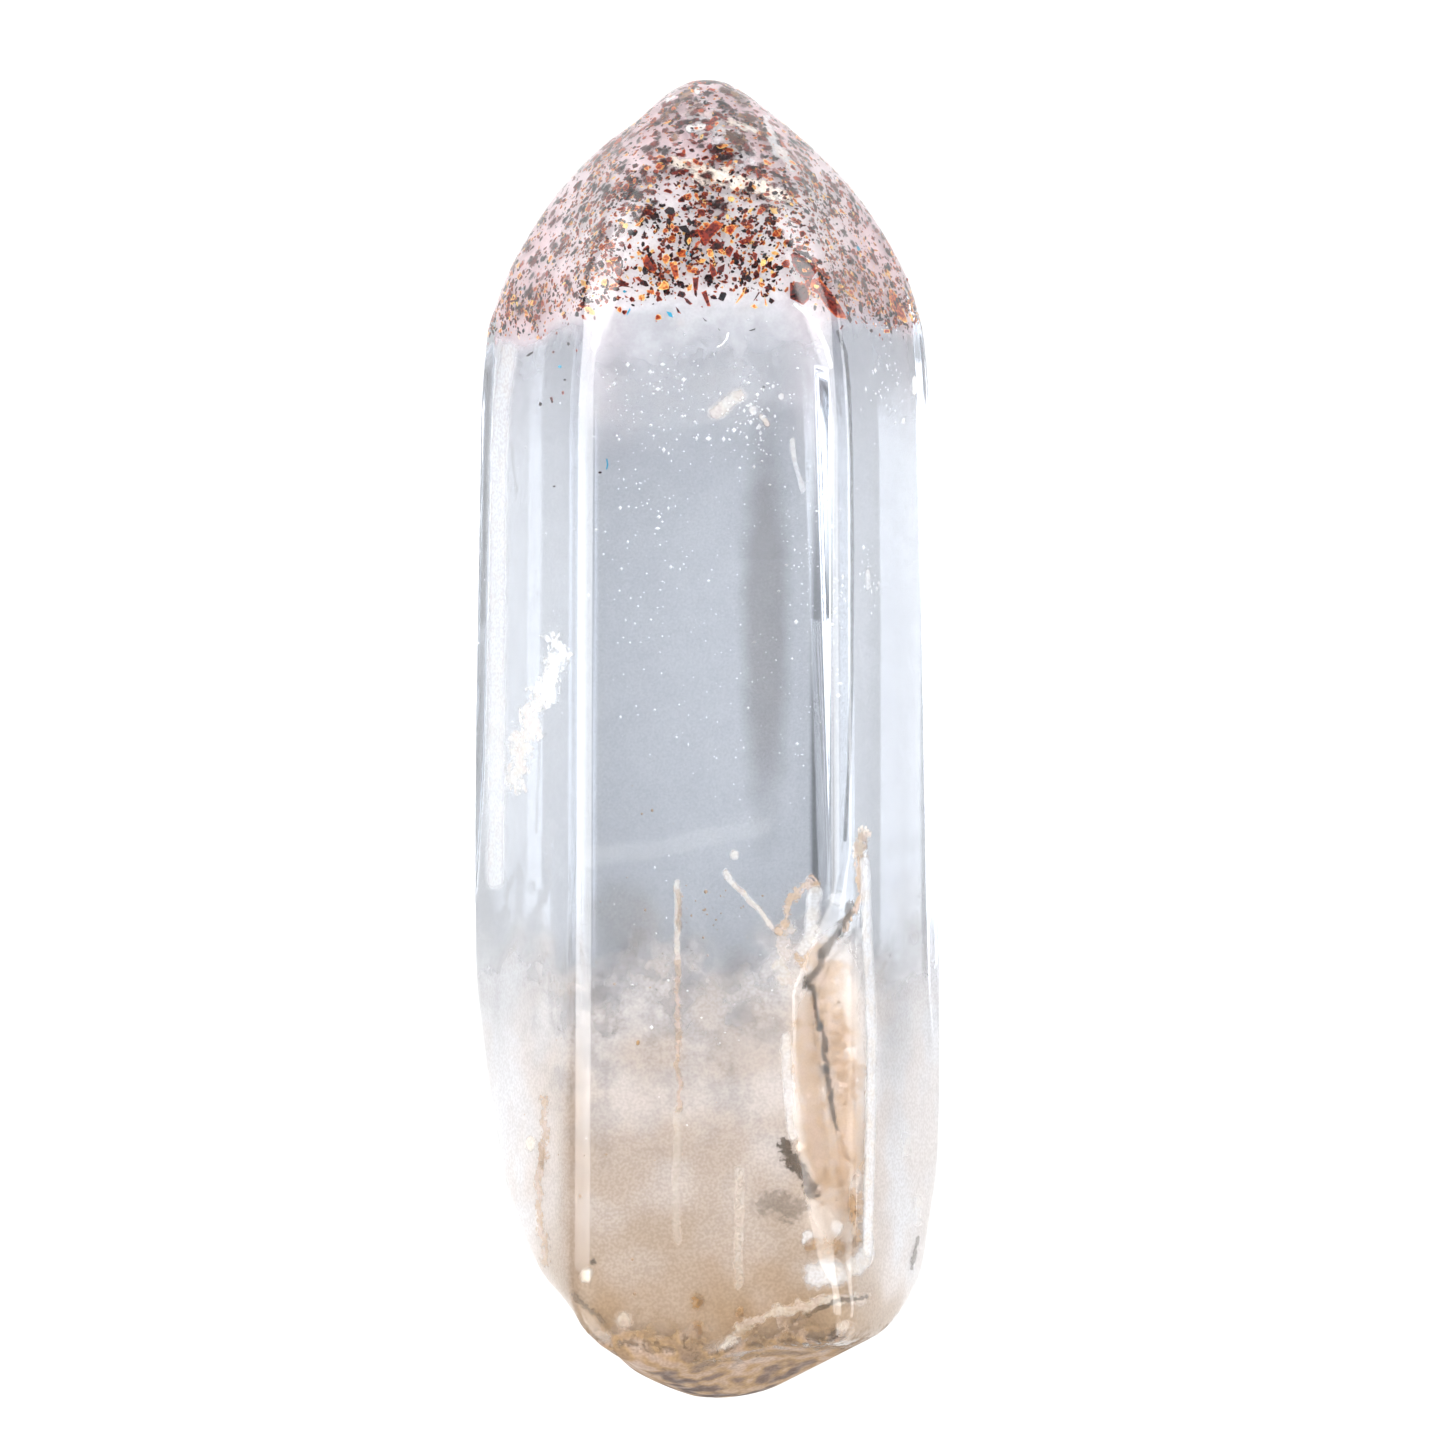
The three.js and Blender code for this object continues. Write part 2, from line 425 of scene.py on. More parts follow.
class Graph:
    """Builds a node tree with short calls, and lets a number or colour stand for a socket."""

    def __init__(self, tree: bpy.types.NodeTree) -> None:
        """Starts on an empty node tree."""
        self.tree = tree
        self.tree.nodes.clear()

    def node(self, kind: str, inputs: dict | None = None, **settings: object) -> bpy.types.Node:
        """Adds a node.

        Args:
            kind: The node's type name in Blender.
            inputs: Values or sockets by input name or number.
            **settings: The node's own properties.

        Returns:
            The new node.
        """
        made = self.tree.nodes.new(kind)
        for name, value in settings.items():
            setattr(made, name, value)
        for name, value in (inputs or {}).items():
            self.feed(made.inputs[name], value)
        return made

    def feed(self, socket: bpy.types.NodeSocket, value: object) -> None:
        """Links a socket to an output, or sets it to a value."""
        if isinstance(value, bpy.types.NodeSocket):
            self.tree.links.new(value, socket)
        elif isinstance(value, (tuple, list)) and socket.type == "RGBA" and len(value) == 3:
            socket.default_value = (*value, 1.0)
        else:
            socket.default_value = value

    def math(self, operation: str, *values: object, clamp: bool = False) -> bpy.types.NodeSocket:
        """Adds a Math node and returns its output."""
        made = self.node("ShaderNodeMath", operation=operation, use_clamp=clamp)
        for socket, value in zip(made.inputs, values):
            self.feed(socket, value)
        return made.outputs[0]

    def vector_math(self, operation: str, *values: object, output: str = "Vector") -> bpy.types.NodeSocket:
        """Adds a Vector Math node and returns one of its outputs."""
        made = self.node("ShaderNodeVectorMath", operation=operation)
        for socket, value in zip(made.inputs, values):
            self.feed(socket, value)
        return made.outputs[output]

    def rise(self, value: object, low: float, high: float) -> bpy.types.NodeSocket:
        """Gives a smooth step from 0 at low to 1 at high, whichever of the two is larger."""
        made = self.node("ShaderNodeMapRange", interpolation_type="SMOOTHSTEP")
        ends = (low, high, 0.0, 1.0) if low < high else (high, low, 1.0, 0.0)
        self.feed(made.inputs["Value"], value)
        for name, end in zip(("From Min", "From Max", "To Min", "To Max"), ends):
            made.inputs[name].default_value = end
        return made.outputs["Result"]

    def blend(self, share: object, low: object, high: object, mode: str = "MIX") -> bpy.types.NodeSocket:
        """Blends two colours by a share and returns the colour."""
        made = self.node("ShaderNodeMix", data_type="RGBA", blend_type=mode)
        self.feed(made.inputs["Factor"], share)
        self.feed(made.inputs[6], low)
        self.feed(made.inputs[7], high)
        return made.outputs[2]

    def noise(
        self, place: object, scale: float, detail: float = 3.0, roughness: float = 0.55
    ) -> bpy.types.NodeSocket:
        """Adds a Noise texture and returns its value."""
        made = self.node("ShaderNodeTexNoise", {"Vector": place, "Scale": scale, "Detail": detail})
        made.inputs["Roughness"].default_value = roughness
        return made.outputs["Fac"]

    def ramp(
        self, value: object, stops: Sequence[tuple[float, tuple[float, float, float]]]
    ) -> bpy.types.NodeSocket:
        """Adds a colour ramp with the given stops and returns its colour."""
        made = self.node("ShaderNodeValToRGB", {"Fac": value})
        elements = made.color_ramp.elements
        while len(elements) < len(stops):
            elements.new(1.0)
        for element, (position, colour) in zip(elements, stops):
            element.position = position
            element.color = (*colour, 1.0)
        return made.outputs["Color"]


def new_material(name: str) -> tuple[bpy.types.Material, Graph]:
    """Makes an empty node material and the graph that fills it."""
    material = bpy.data.materials.new(name)
    material.use_nodes = True
    return material, Graph(material.node_tree)


@dataclass(frozen=True)
class SkinZone:
    """A soft oval region in which the crystal's skin is tinted, by stain or by painted shade, and worn.
    Millimetres from the floor.
    """

    centre: tuple[float, float, float]
    reach: tuple[float, float, float]
    tint: tuple[float, float, float]
    wear: float = 0.0
    ragged: float = 0.25
    softness: float = 0.65


SKIN_ZONES = (
    SkinZone((0.4, -16.4, 4.6), (6.4, 4.4, 30), (0.96, 0.90, 0.84), 0.4, 0.4),
    SkinZone((0, -9.6, 4.6), (9, 6.5, 30), (1.0, 0.98, 0.96), 0.25, 0.3),
    SkinZone((3.05, -8.4, 8.8), (1.3, 5.6, 2.6), (0.95, 0.91, 0.86), 1.2, 0.2, 0.5),
    # Painted shade: a grey band down the front face, right of the middle.
    SkinZone((1.45, 2.8, 9.0), (0.8, 6.5, 3.0), (0.54, 0.50, 0.48), 0.0, 0.15),
    SkinZone((-2.0, -4.3, 9.0), (1.2, 1.2, 3.0), (0.84, 0.79, 0.74), 0.0, 0.3),
    # Painted shade: the right flank darkened along its whole length.
    SkinZone((4.5, -2.0, 7.0), (1.1, 13.0, 3.5), (0.77, 0.77, 0.78), 0.0, 0.2),
    # Painted shade: the lower part of the left edge's highlight dimmed.
    SkinZone((-3.3, -10.5, 8.8), (0.45, 5.5, 1.2), (0.80, 0.74, 0.68), 0.0, 0.2),
    # Painted shade: a dark grey line along the bottom face by its right edge, where the crystal meets the
    # floor.
    SkinZone((2.85, -1.0, 0.0), (0.3, 14.0, 0.6), (0.35, 0.35, 0.36), 0.0, 0.0, 0.5),
)


@dataclass(frozen=True)
class ClearQuartzFinish:
    """Clear quartz with a faint grey-blue body, a stained base, a lightly worn skin and zones of painted
    shade.
    """

    roughness: float = 0.03
    worn_roughness: float = 0.3
    mist_per_mm: float = 1.3
    mist_tint: tuple[float, float, float] = (0.96, 0.96, 0.965)
    grain_per_mm: float = 19.0
    grain_tint: tuple[float, float, float] = (0.92, 0.92, 0.925)
    absorption_colour: tuple[float, float, float] = (0.88, 0.92, 0.973)
    absorption_density: float = 100.0
    zones: tuple[SkinZone, ...] = SKIN_ZONES

    def make(self) -> bpy.types.Material:
        """Builds the material.

        Returns:
            The clear quartz material.
        """
        material, graph = new_material("clear_quartz")
        place = graph.node("ShaderNodeTexCoord").outputs["Object"]
        place = graph.vector_math("MULTIPLY", place, (1000.0, 1000.0, 1000.0))
        cloud = graph.noise(place, 0.9, 2.0)
        tint: object = (1.0, 1.0, 1.0)
        wear: object = 0.0
        for zone in self.zones:
            offset = graph.vector_math("SUBTRACT", place, zone.centre)
            offset = graph.vector_math("DIVIDE", offset, zone.reach)
            away = graph.vector_math("LENGTH", offset, output="Value")
            away = graph.math("MULTIPLY_ADD", cloud, 2 * zone.ragged, away)
            share = graph.rise(away, 1.0 + zone.ragged, 1.0 - zone.softness + zone.ragged)
            tint = graph.blend(share, tint, zone.tint, mode="MULTIPLY")
            if zone.wear:
                wear = graph.math("MAXIMUM", wear, graph.math("MULTIPLY", share, zone.wear))
        mist = graph.rise(graph.noise(place, self.mist_per_mm, 3.0, 0.6), 0.35, 0.65)
        tint = graph.blend(mist, graph.vector_math("MULTIPLY", tint, self.mist_tint), tint)
        grain = graph.rise(graph.noise(place, self.grain_per_mm, 0.0), 0.3, 0.7)
        tint = graph.blend(grain, graph.vector_math("MULTIPLY", tint, self.grain_tint), tint)
        surface = graph.node("ShaderNodeBsdfPrincipled", {"Base Color": tint, "Transmission Weight": 1.0})
        roughness = graph.math("MULTIPLY_ADD", wear, self.worn_roughness, self.roughness)
        graph.feed(surface.inputs["Roughness"], roughness)
        surface.inputs["IOR"].default_value = QUARTZ_IOR
        volume = graph.node("ShaderNodeVolumeAbsorption")
        volume.inputs["Color"].default_value = (*self.absorption_colour, 1.0)
        volume.inputs["Density"].default_value = self.absorption_density
        graph.node(
            "ShaderNodeOutputMaterial",
            {"Surface": surface.outputs["BSDF"], "Volume": volume.outputs["Volume"]},
        )
        return material


@dataclass
class ClearCrystal:
    """The crystal itself as one fine closed mesh."""

    form: CrystalForm = field(default_factory=CrystalForm)
    point_centre_y: float = 9.0
    base_centre_y: float = -10.5
    cap_rows: int = 90
    body_rows: int = 110
    corner_half_width: float = 5.0
    corner_step: float = 0.55
    face_columns: int = 12
    ledge_range: tuple[float, float] = (20.0, 54.0)
    skin_inset: float = 0.012

    def column_azimuths(self) -> Array:
        """Places the mesh's columns close together over the prism's edges and the ledge.

        Returns:
            Azimuths in radians, rising.
        """
        sides = self.form.sides
        corners = []
        for side, following in zip(sides, sides[1:] + sides[:1]):
            turn = math.radians(60)
            across = (following.distance - side.distance * math.cos(turn)) / math.sin(turn)
            corners.append(side.azimuth + math.degrees(math.atan2(across, side.distance)))
        corners = np.sort(np.mod(corners, 360))
        reach, step = self.corner_half_width, self.corner_step
        fine = [np.arange(corner - reach, corner + reach, step) for corner in corners]
        fine.append(np.arange(*self.ledge_range, step))
        fine_columns = np.concatenate(fine)
        coarse = np.arange(0, 360, 60 / self.face_columns)
        apart = np.abs(((coarse[:, None] - fine_columns[None, :]) + 180) % 360 - 180).min(1)
        columns = np.mod(np.concatenate([fine_columns, coarse[~(apart < 2 * step)]]), 360)
        return np.radians(np.unique(np.round(columns, 3)))

    def build(self) -> bpy.types.Object:
        """Builds the closed surface as a grid of rows and columns between two poles.

        Returns:
            The crystal's object.
        """
        columns = self.column_azimuths()
        quarter = math.pi / 2
        top_lift = quarter * (1 - np.arange(1, self.cap_rows + 1) / self.cap_rows)
        base_lift = -quarter * np.arange(self.cap_rows) / self.cap_rows
        body_y = np.linspace(self.point_centre_y, self.base_centre_y, self.body_rows + 2)[1:-1]
        top_y = np.full(len(top_lift), self.point_centre_y)
        row_y = np.concatenate([top_y, body_y, np.full(len(base_lift), self.base_centre_y)])
        row_lift = np.concatenate([top_lift, np.zeros(len(body_y)), base_lift])
        lift, azimuth = np.meshgrid(row_lift, columns, indexing="ij")
        y, _ = np.meshgrid(row_y, columns, indexing="ij")
        across = np.cos(lift)
        directions = np.stack([np.sin(azimuth) * across, np.sin(lift), np.cos(azimuth) * across], -1)
        starts = np.stack([np.zeros_like(y), y, np.full_like(y, self.form.axis_z)], -1)
        poles = np.array([[0, end, self.form.axis_z] for end in (self.point_centre_y, self.base_centre_y)])
        starts = np.concatenate([poles[:1], starts.reshape(-1, 3), poles[1:]])
        directions = np.concatenate([[[0, 1, 0]], directions.reshape(-1, 3), [[0, -1, 0]]])
        points = self.form.along_rays(starts, directions, 0.0, 20.0, self.skin_inset)
        rows, count = len(row_y), len(columns)
        grid = 1 + np.arange(rows * count).reshape(rows, count)
        turned = np.roll(grid, -1, axis=1)
        quads = np.stack([grid[:-1], grid[1:], turned[1:], turned[:-1]], -1).reshape(-1, 4)
        last = len(points) - 1
        faces = [tuple(q) for q in quads.tolist()]
        faces += [(0, a, b) for a, b in zip(grid[0].tolist(), turned[0].tolist())]
        faces += [(last, b, a) for a, b in zip(grid[-1].tolist(), turned[-1].tolist())]
        mesh = bpy.data.meshes.new("clear_crystal")
        mesh.from_pydata((points * MM).tolist(), [], faces)
        mesh.polygons.foreach_set("use_smooth", [True] * len(mesh.polygons))
        mesh.normals_split_custom_set_from_vertices(self.form.facing(points, self.skin_inset).tolist())
        crystal = bpy.data.objects.new("clear_crystal", mesh)
        bpy.context.scene.collection.objects.link(crystal)
        return crystal

    def dress(self, crystal: bpy.types.Object) -> None:
        """Gives the crystal its finish and its place in the frame."""
        LOG.info("%s: %d faces", crystal.name, len(crystal.data.polygons))
        crystal.data.materials.append(ClearQuartzFinish().make())
        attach(crystal, ROOT)
        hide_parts(CRYSTAL_NODE)


class FlakeTone(Enum):
    """The colours of lepidocrocite flakes, by the tone from 0 to 1 that stands for each."""

    INK = 0.05
    UMBER = 0.2
    OXBLOOD = 0.35
    BRICK = 0.5
    AMBER = 0.65
    GOLD = 0.8
    PEACOCK = 0.95


@dataclass(frozen=True)
class LepidocrociteFinish:
    """Flakes whose colour follows each flake's tone, with paler and darker patches in each."""

    colours: tuple[tuple[FlakeTone, tuple[float, float, float]], ...] = (
        (FlakeTone.INK, (0.003, 0.004, 0.010)),
        (FlakeTone.UMBER, (0.022, 0.005, 0.005)),
        (FlakeTone.OXBLOOD, (0.12, 0.007, 0.006)),
        (FlakeTone.BRICK, (0.36, 0.035, 0.012)),
        (FlakeTone.AMBER, (0.72, 0.20, 0.035)),
        (FlakeTone.GOLD, (0.95, 0.65, 0.22)),
        (FlakeTone.PEACOCK, (0.01, 0.30, 0.48)),
    )
    roughness: float = 0.3
    mottle_per_mm: float = 13.0
    mottle_share: float = 0.2
    rim_lift: float = 0.22
    brightest: float = 0.8

    def make(self) -> bpy.types.Material:
        """Builds the material.

        Returns:
            The flakes' material.
        """
        material, graph = new_material("lepidocrocite")
        tone = graph.node("ShaderNodeAttribute", attribute_name="tone").outputs["Fac"]
        core = graph.node("ShaderNodeAttribute", attribute_name="core").outputs["Fac"]
        place = graph.node("ShaderNodeTexCoord").outputs["Object"]
        place = graph.vector_math("MULTIPLY", place, (1000.0, 1000.0, 1000.0))
        mottle = graph.rise(graph.noise(place, self.mottle_per_mm, 3.0), 0.35, 0.65)
        drift = graph.math("MULTIPLY_ADD", mottle, self.mottle_share, -self.mottle_share / 2)
        lift = graph.math("MULTIPLY_ADD", graph.rise(core, 0.35, 0.05), self.rim_lift, drift)
        held = graph.math("MINIMUM", graph.math("ADD", tone, lift), self.brightest)
        iridescent = graph.rise(tone, 0.86, 0.9)
        tone = graph.math("MAXIMUM", held, graph.math("MULTIPLY", tone, iridescent))
        colour = graph.ramp(tone, [(name.value, shade) for name, shade in self.colours])
        surface = graph.node("ShaderNodeBsdfPrincipled", {"Base Color": colour})
        graph.feed(surface.inputs["Roughness"], graph.math("MULTIPLY_ADD", mottle, 0.3, self.roughness - 0.1))
        surface.inputs["Specular IOR Level"].default_value = 0.25
        graph.node("ShaderNodeOutputMaterial", {"Surface": surface.outputs["BSDF"]})
        return material


@dataclass(frozen=True)
class FlakeBorder:
    """The lower border of the crowd of flakes, by pixels of the photograph."""

    photo: PhotoFrame = field(default_factory=PhotoFrame)
    pixels: tuple[tuple[float, float], ...] = (
        (470, 322), (497, 330), (540, 342), (600, 312), (700, 298),
        (790, 300), (850, 320), (900, 330), (940, 322),
    )

    def height_above(self, points: Array) -> Array:
        """Gives how far points lie above the border towards the crystal's point, in millimetres."""
        border = np.array(self.pixels)
        border_x = (border[:, 0] - self.photo.origin_px[0]) * self.photo.mm_per_px
        border_y = (self.photo.origin_px[1] - border[:, 1]) * self.photo.mm_per_px
        return points[:, 1] - np.interp(points[:, 0], border_x, border_y)


FlakeShares = tuple[tuple[FlakeTone, float], ...]

FLAKE_SHARES: FlakeShares = (
    (FlakeTone.INK, 0.27),
    (FlakeTone.UMBER, 0.23),
    (FlakeTone.OXBLOOD, 0.25),
    (FlakeTone.BRICK, 0.15),
    (FlakeTone.AMBER, 0.065),
    (FlakeTone.GOLD, 0.03),
    (FlakeTone.PEACOCK, 0.005),
)
SOFT_FLAKE_SHARES: FlakeShares = (
    (FlakeTone.INK, 0.12),
    (FlakeTone.UMBER, 0.36),
    (FlakeTone.OXBLOOD, 0.4),
    (FlakeTone.BRICK, 0.12),
)


def deal_tones(rng: np.random.Generator, count: int, shares: FlakeShares) -> Array:
    """Deals out flake tones in the given shares.

    Args:
        rng: The source of chance.
        count: How many tones.
        shares: Each tone with its share, 1 in all.

    Returns:
        One tone from 0 to 1 per flake.
    """
    values = np.array([tone.value for tone, _ in shares])
    return values[rng.choice(len(values), count, p=[share for _, share in shares])]


@dataclass
class FlakeCap:
    """The crowd of flakes on growth layers just inside the crystal's point."""

    form: CrystalForm = field(default_factory=CrystalForm)
    border: FlakeBorder = field(default_factory=FlakeBorder)
    seed: int = 7
    candidates: int = 40000
    centre: tuple[float, float, float] = (0.0, 10.4, 4.6)
    border_softness: float = 0.32
    flake_count: int = 7200
    flake_length: float = 0.118
    length_spread: float = 0.42
    length_range: tuple[float, float] = (0.06, 0.32)
    thickness: float = 0.012
    corners: int = 6
    back_share: float = 0.4
    cloudy_share: float = 0.3
    cloudy_across: Profile = Profile((2.0, 3.6), (0, 1))
    cloudy_up: Profile = Profile((13.0, 14.4), (0, 1))
    cloudy_above: Profile = Profile((0.6, 2.0), (0, 1))
    stray_share: float = 0.004
    stray_reach: float = 1.2
    tone_spread: float = 0.035
    highest_tone: float = 0.97
    grain_count: int = 3600
    grain_size: float = 0.026

    def places(self, rng: np.random.Generator, count: int, depths: Array) -> tuple[Array, Array]:
        """Picks places all over the point, evenly by area but in loose crowds.

        Args:
            rng: The source of chance.
            count: How many places.
            depths: The depth below the surface of each candidate, in millimetres.

        Returns:
            The places and the outward directions there.
        """
        directions = unit(rng.normal(size=(self.candidates, 3)))
        directions[:, 1] = np.abs(directions[:, 1]) * 1.1 - 0.12
        directions = unit(directions)
        starts = np.broadcast_to(np.array(self.centre), directions.shape)
        points = self.form.along_rays(starts, directions, 0.0, 12.0, depths)
        normals = self.form.facing(points, depths)
        away = ((points - starts) ** 2).sum(-1)
        weight = away / np.maximum(0.2, (normals * directions).sum(-1))
        above = self.border.height_above(points)
        strays = self.stray_share * np.exp(np.minimum(above, 0) / self.stray_reach)
        weight *= 1 / (1 + np.exp(-above / self.border_softness * 3)) + strays
        x, y, z = points.T
        crowd = np.sin(3.1 * x + 1.3 * y) * np.sin(2.3 * y - 1.7 * z + 0.6)
        crowd = crowd + np.sin(5.2 * x - 2.2 * z + 2) * 0.6
        weight *= np.clip(0.8 + 0.35 * crowd, 0.25, 1.5)
        weight *= np.where(z < self.form.axis_z, self.back_share, 1.0)
        cloudy = np.maximum(self.cloudy_across.at(np.abs(x)), self.cloudy_up.at(y))
        weight *= 1 - (1 - self.cloudy_share) * cloudy * self.cloudy_above.at(above)
        picked = rng.choice(self.candidates, count, replace=False, p=weight / weight.sum())
        return points[picked], normals[picked]

    def tones(self, rng: np.random.Generator, count: int) -> Array:
        """Deals out tones in the shares that the colours have in the crystal, each a little off."""
        dealt = deal_tones(rng, count, FLAKE_SHARES)
        return np.clip(dealt + rng.normal(0, self.tone_spread, count), 0.0, self.highest_tone)

    def build(self) -> tuple[bpy.types.Object, bpy.types.Object]:
        """Builds the flakes and the fine grains between them.

        Returns:
            The flakes and the grains.
        """
        rng = np.random.default_rng(self.seed)
        depths = 0.05 + rng.gamma(1.3, 0.15, self.candidates)
        places, normals = self.places(rng, self.flake_count, depths)
        tones = self.tones(rng, self.flake_count)
        turns = (np.arange(self.corners) + rng.uniform(-0.34, 0.34, (self.flake_count, self.corners)))
        turns *= 2 * math.pi / self.corners
        reach = rng.uniform(0.66, 1.15, turns.shape)
        length = rng.lognormal(math.log(self.flake_length), self.length_spread, self.flake_count)
        length = np.clip(length, *self.length_range)
        width = length * rng.uniform(0.35, 0.95, self.flake_count)
        tilt = rng.normal(0, 0.35, places.shape)
        lean = unit(normals + tilt)
        across = unit(np.cross(lean, rng.normal(size=lean.shape)))
        along = np.cross(lean, across)
        flakes = Grains()
        for i in range(self.flake_count):
            rim = places[i] + np.outer(np.cos(turns[i]) * reach[i], along[i]) * length[i] / 2
            rim = rim + np.outer(np.sin(turns[i]) * reach[i], across[i]) * width[i] / 2
            flakes.add_plate(rim, -lean[i] * self.thickness, tones[i])
        grains = Grains()
        depths = 0.05 + rng.gamma(1.4, 0.3, self.candidates)
        places, _ = self.places(rng, self.grain_count, depths)
        sizes = self.grain_size * rng.uniform(0.5, 1.4, self.grain_count)
        corners = unit(np.array([(1, 1, 1), (1, -1, -1), (-1, 1, -1), (-1, -1, 1)], float))
        faces = [[0, 1, 2], [0, 3, 1], [0, 2, 3], [1, 3, 2]]
        turn = rng.normal(size=(self.grain_count, 2, 3))
        tones = self.tones(rng, self.grain_count)
        for i in range(self.grain_count):
            first = unit(turn[i, 0])
            second = unit(np.cross(first, turn[i, 1]))
            axes = np.stack([first, second, np.cross(first, second)])
            grains.add(places[i] + corners @ axes * sizes[i], faces, tone=tones[i], core=0.5)
        return flakes.join("lepidocrocite_flakes"), grains.join("lepidocrocite_grains")

    def dress(self, *pieces: bpy.types.Object) -> None:
        """Gives the flakes and grains their finish and their places in the frame."""
        finish = LepidocrociteFinish().make()
        for piece in pieces:
            settle(piece, finish)


@dataclass(frozen=True)
class Blade:
    """A larger flake by the outline that it shows in the photograph, in pixels."""

    outline: tuple[tuple[float, float], ...]
    tone: FlakeTone
    depth: float = 0.12


def dot(x: float, y: float, half_width: float, half_height: float) -> tuple[tuple[float, float], ...]:
    """Gives a small six-cornered outline round a pixel."""
    turns = [math.radians(60 * i + 15) for i in range(6)]
    return tuple((x + half_width * math.cos(t), y + half_height * math.sin(t)) for t in turns)


